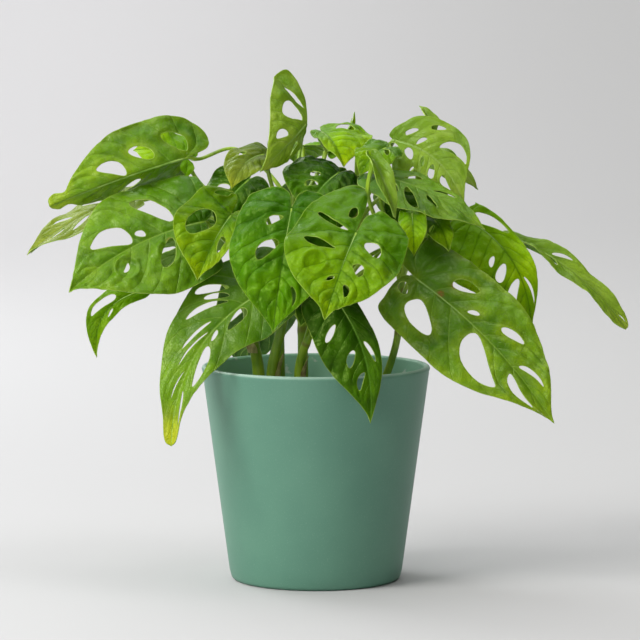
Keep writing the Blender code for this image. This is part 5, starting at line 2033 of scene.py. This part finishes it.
@dataclass
class Studio:
    """The pale sweep, the soft lights and the camera."""
    camera_place: tuple[float, float, float] = (0.0025, -2.2, 0.369)
    camera_dip: float = 5.5
    lens: float = 205.9
    sensor: float = 36.0
    floor_front: float = -7.0
    floor_back: float = 3.0
    cove_radius: float = 2.6
    wall_top: float = 4.0
    half_width: float = 7.0

    def build(self) -> None:
        """Set up the backdrop, lights, camera and colour handling."""
        self.backdrop()
        self.soft_light("key_light", (-1.7, -1.2, 1.7), 1.3, 66.0, (1.0, 0.985, 0.96))
        self.soft_light("front_light", (-0.7, -2.5, 0.7), 0.8, 10.0, (1.0, 1.0, 1.0))
        self.soft_light("back_light", (-1.2, 1.2, 1.4), 0.9, 18.0, (0.98, 1.0, 1.0))
        self.soft_light("top_light", (0.75, -0.55, 2.1), 1.0, 12.0, (1.0, 1.0, 0.98))
        self.soft_light("room_light", (-0.8, 2.6, 4.2), 6.0, 170.0, (1.0, 1.0, 1.0), 0.0)
        self.sky(0.14)
        self.camera()
        bpy.context.scene.view_settings.view_transform = "Standard"

    def backdrop(self) -> None:
        """Make the floor that sweeps up into a wall, with the light's fall-off painted on it."""
        line = [(self.floor_front, 0.0), (self.floor_back, 0.0)]
        line += arc((self.floor_back, self.cove_radius), self.cove_radius, -90, 0, 24)[1:]
        line.append((self.floor_back + self.cove_radius, self.wall_top))
        points = [(x, y, z) for y, z in line for x in (-self.half_width, self.half_width)]
        faces = [(2 * step, 2 * step + 1, 2 * step + 3, 2 * step + 2)
                 for step in range(len(line) - 1)]
        mesh = bpy.data.meshes.new("studio_sweep")
        mesh.from_pydata(points, [], faces)
        mesh.shade_smooth()
        bench = FinishBench("sweep_paper_painted_falloff")
        where = bench.add("ShaderNodeSeparateXYZ", {0: bench.place})
        # Painted light: the paper is painted brighter towards the wall and to the left, darker on the
        # near floor and to the right, for the light's fall-off across the studio.
        painted_depth_falloff = bench.ramp(where.outputs[1], 0.2, 3.5)
        painted_side_falloff = bench.ramp(where.outputs[0], -0.6, 0.6)
        near = bench.blend(painted_side_falloff, (0.49, 0.49, 0.50), (0.46, 0.46, 0.46))
        far = bench.blend(painted_side_falloff, (0.83, 0.825, 0.84), (0.64, 0.64, 0.64))
        mesh.materials.append(bench.coat(bench.blend(painted_depth_falloff, near, far), 0.9))
        link_object("studio_sweep", mesh)

    @staticmethod
    def soft_light(name: str, place: tuple[float, float, float], size: float, power: float,
                   colour: Colour, aim_share: float = 1.0) -> None:
        """Add one square soft light that points at the plant, or straight down.

        Args:
            name: The light's name.
            place: Where it stands.
            size: The length of its side.
            power: Its power in watts.
            colour: Its colour.
            aim_share: How far it turns from straight down to the plant.
        """
        data = bpy.data.lights.new(name, "AREA")
        data.size = size
        data.energy = power
        data.color = colour
        lamp = bpy.data.objects.new(name, data)
        bpy.context.scene.collection.objects.link(lamp)
        lamp.location = place
        aim = Vector((0.0, 0.0, -1.0)).lerp(Vector((0.0, 0.0, 0.15)) - Vector(place), aim_share)
        lamp.rotation_euler = aim.to_track_quat("-Z", "Y").to_euler()

    @staticmethod
    def sky(strength: float) -> None:
        """Light the whole room evenly.

        Args:
            strength: How bright the surroundings are.
        """
        world = bpy.data.worlds.new("studio_air")
        world.use_nodes = True
        back = world.node_tree.nodes["Background"]
        back.inputs["Color"].default_value = (1.0, 1.0, 0.98, 1.0)
        back.inputs["Strength"].default_value = strength
        bpy.context.scene.world = world

    def camera(self) -> None:
        """Stand the camera where the photograph was taken from."""
        data = bpy.data.cameras.new("camera")
        data.lens = self.lens
        data.sensor_width = self.sensor
        data.clip_end = 50.0
        eye = bpy.data.objects.new("camera", data)
        bpy.context.scene.collection.objects.link(eye)
        eye.location = self.camera_place
        eye.rotation_euler = (math.radians(90 - self.camera_dip), 0.0, 0.0)
        bpy.context.scene.camera = eye


def main() -> None:
    """Build the potted plant and its studio."""
    logging.basicConfig(level=logging.INFO, format="%(message)s")
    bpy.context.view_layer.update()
    workshop = Workshop()
    CoverPot().build(workshop)
    NurseryPot().build(workshop)
    SoilBed().build(workshop)
    Plant().build(workshop)
    Studio().build()


if __name__ == "__main__":
    main()
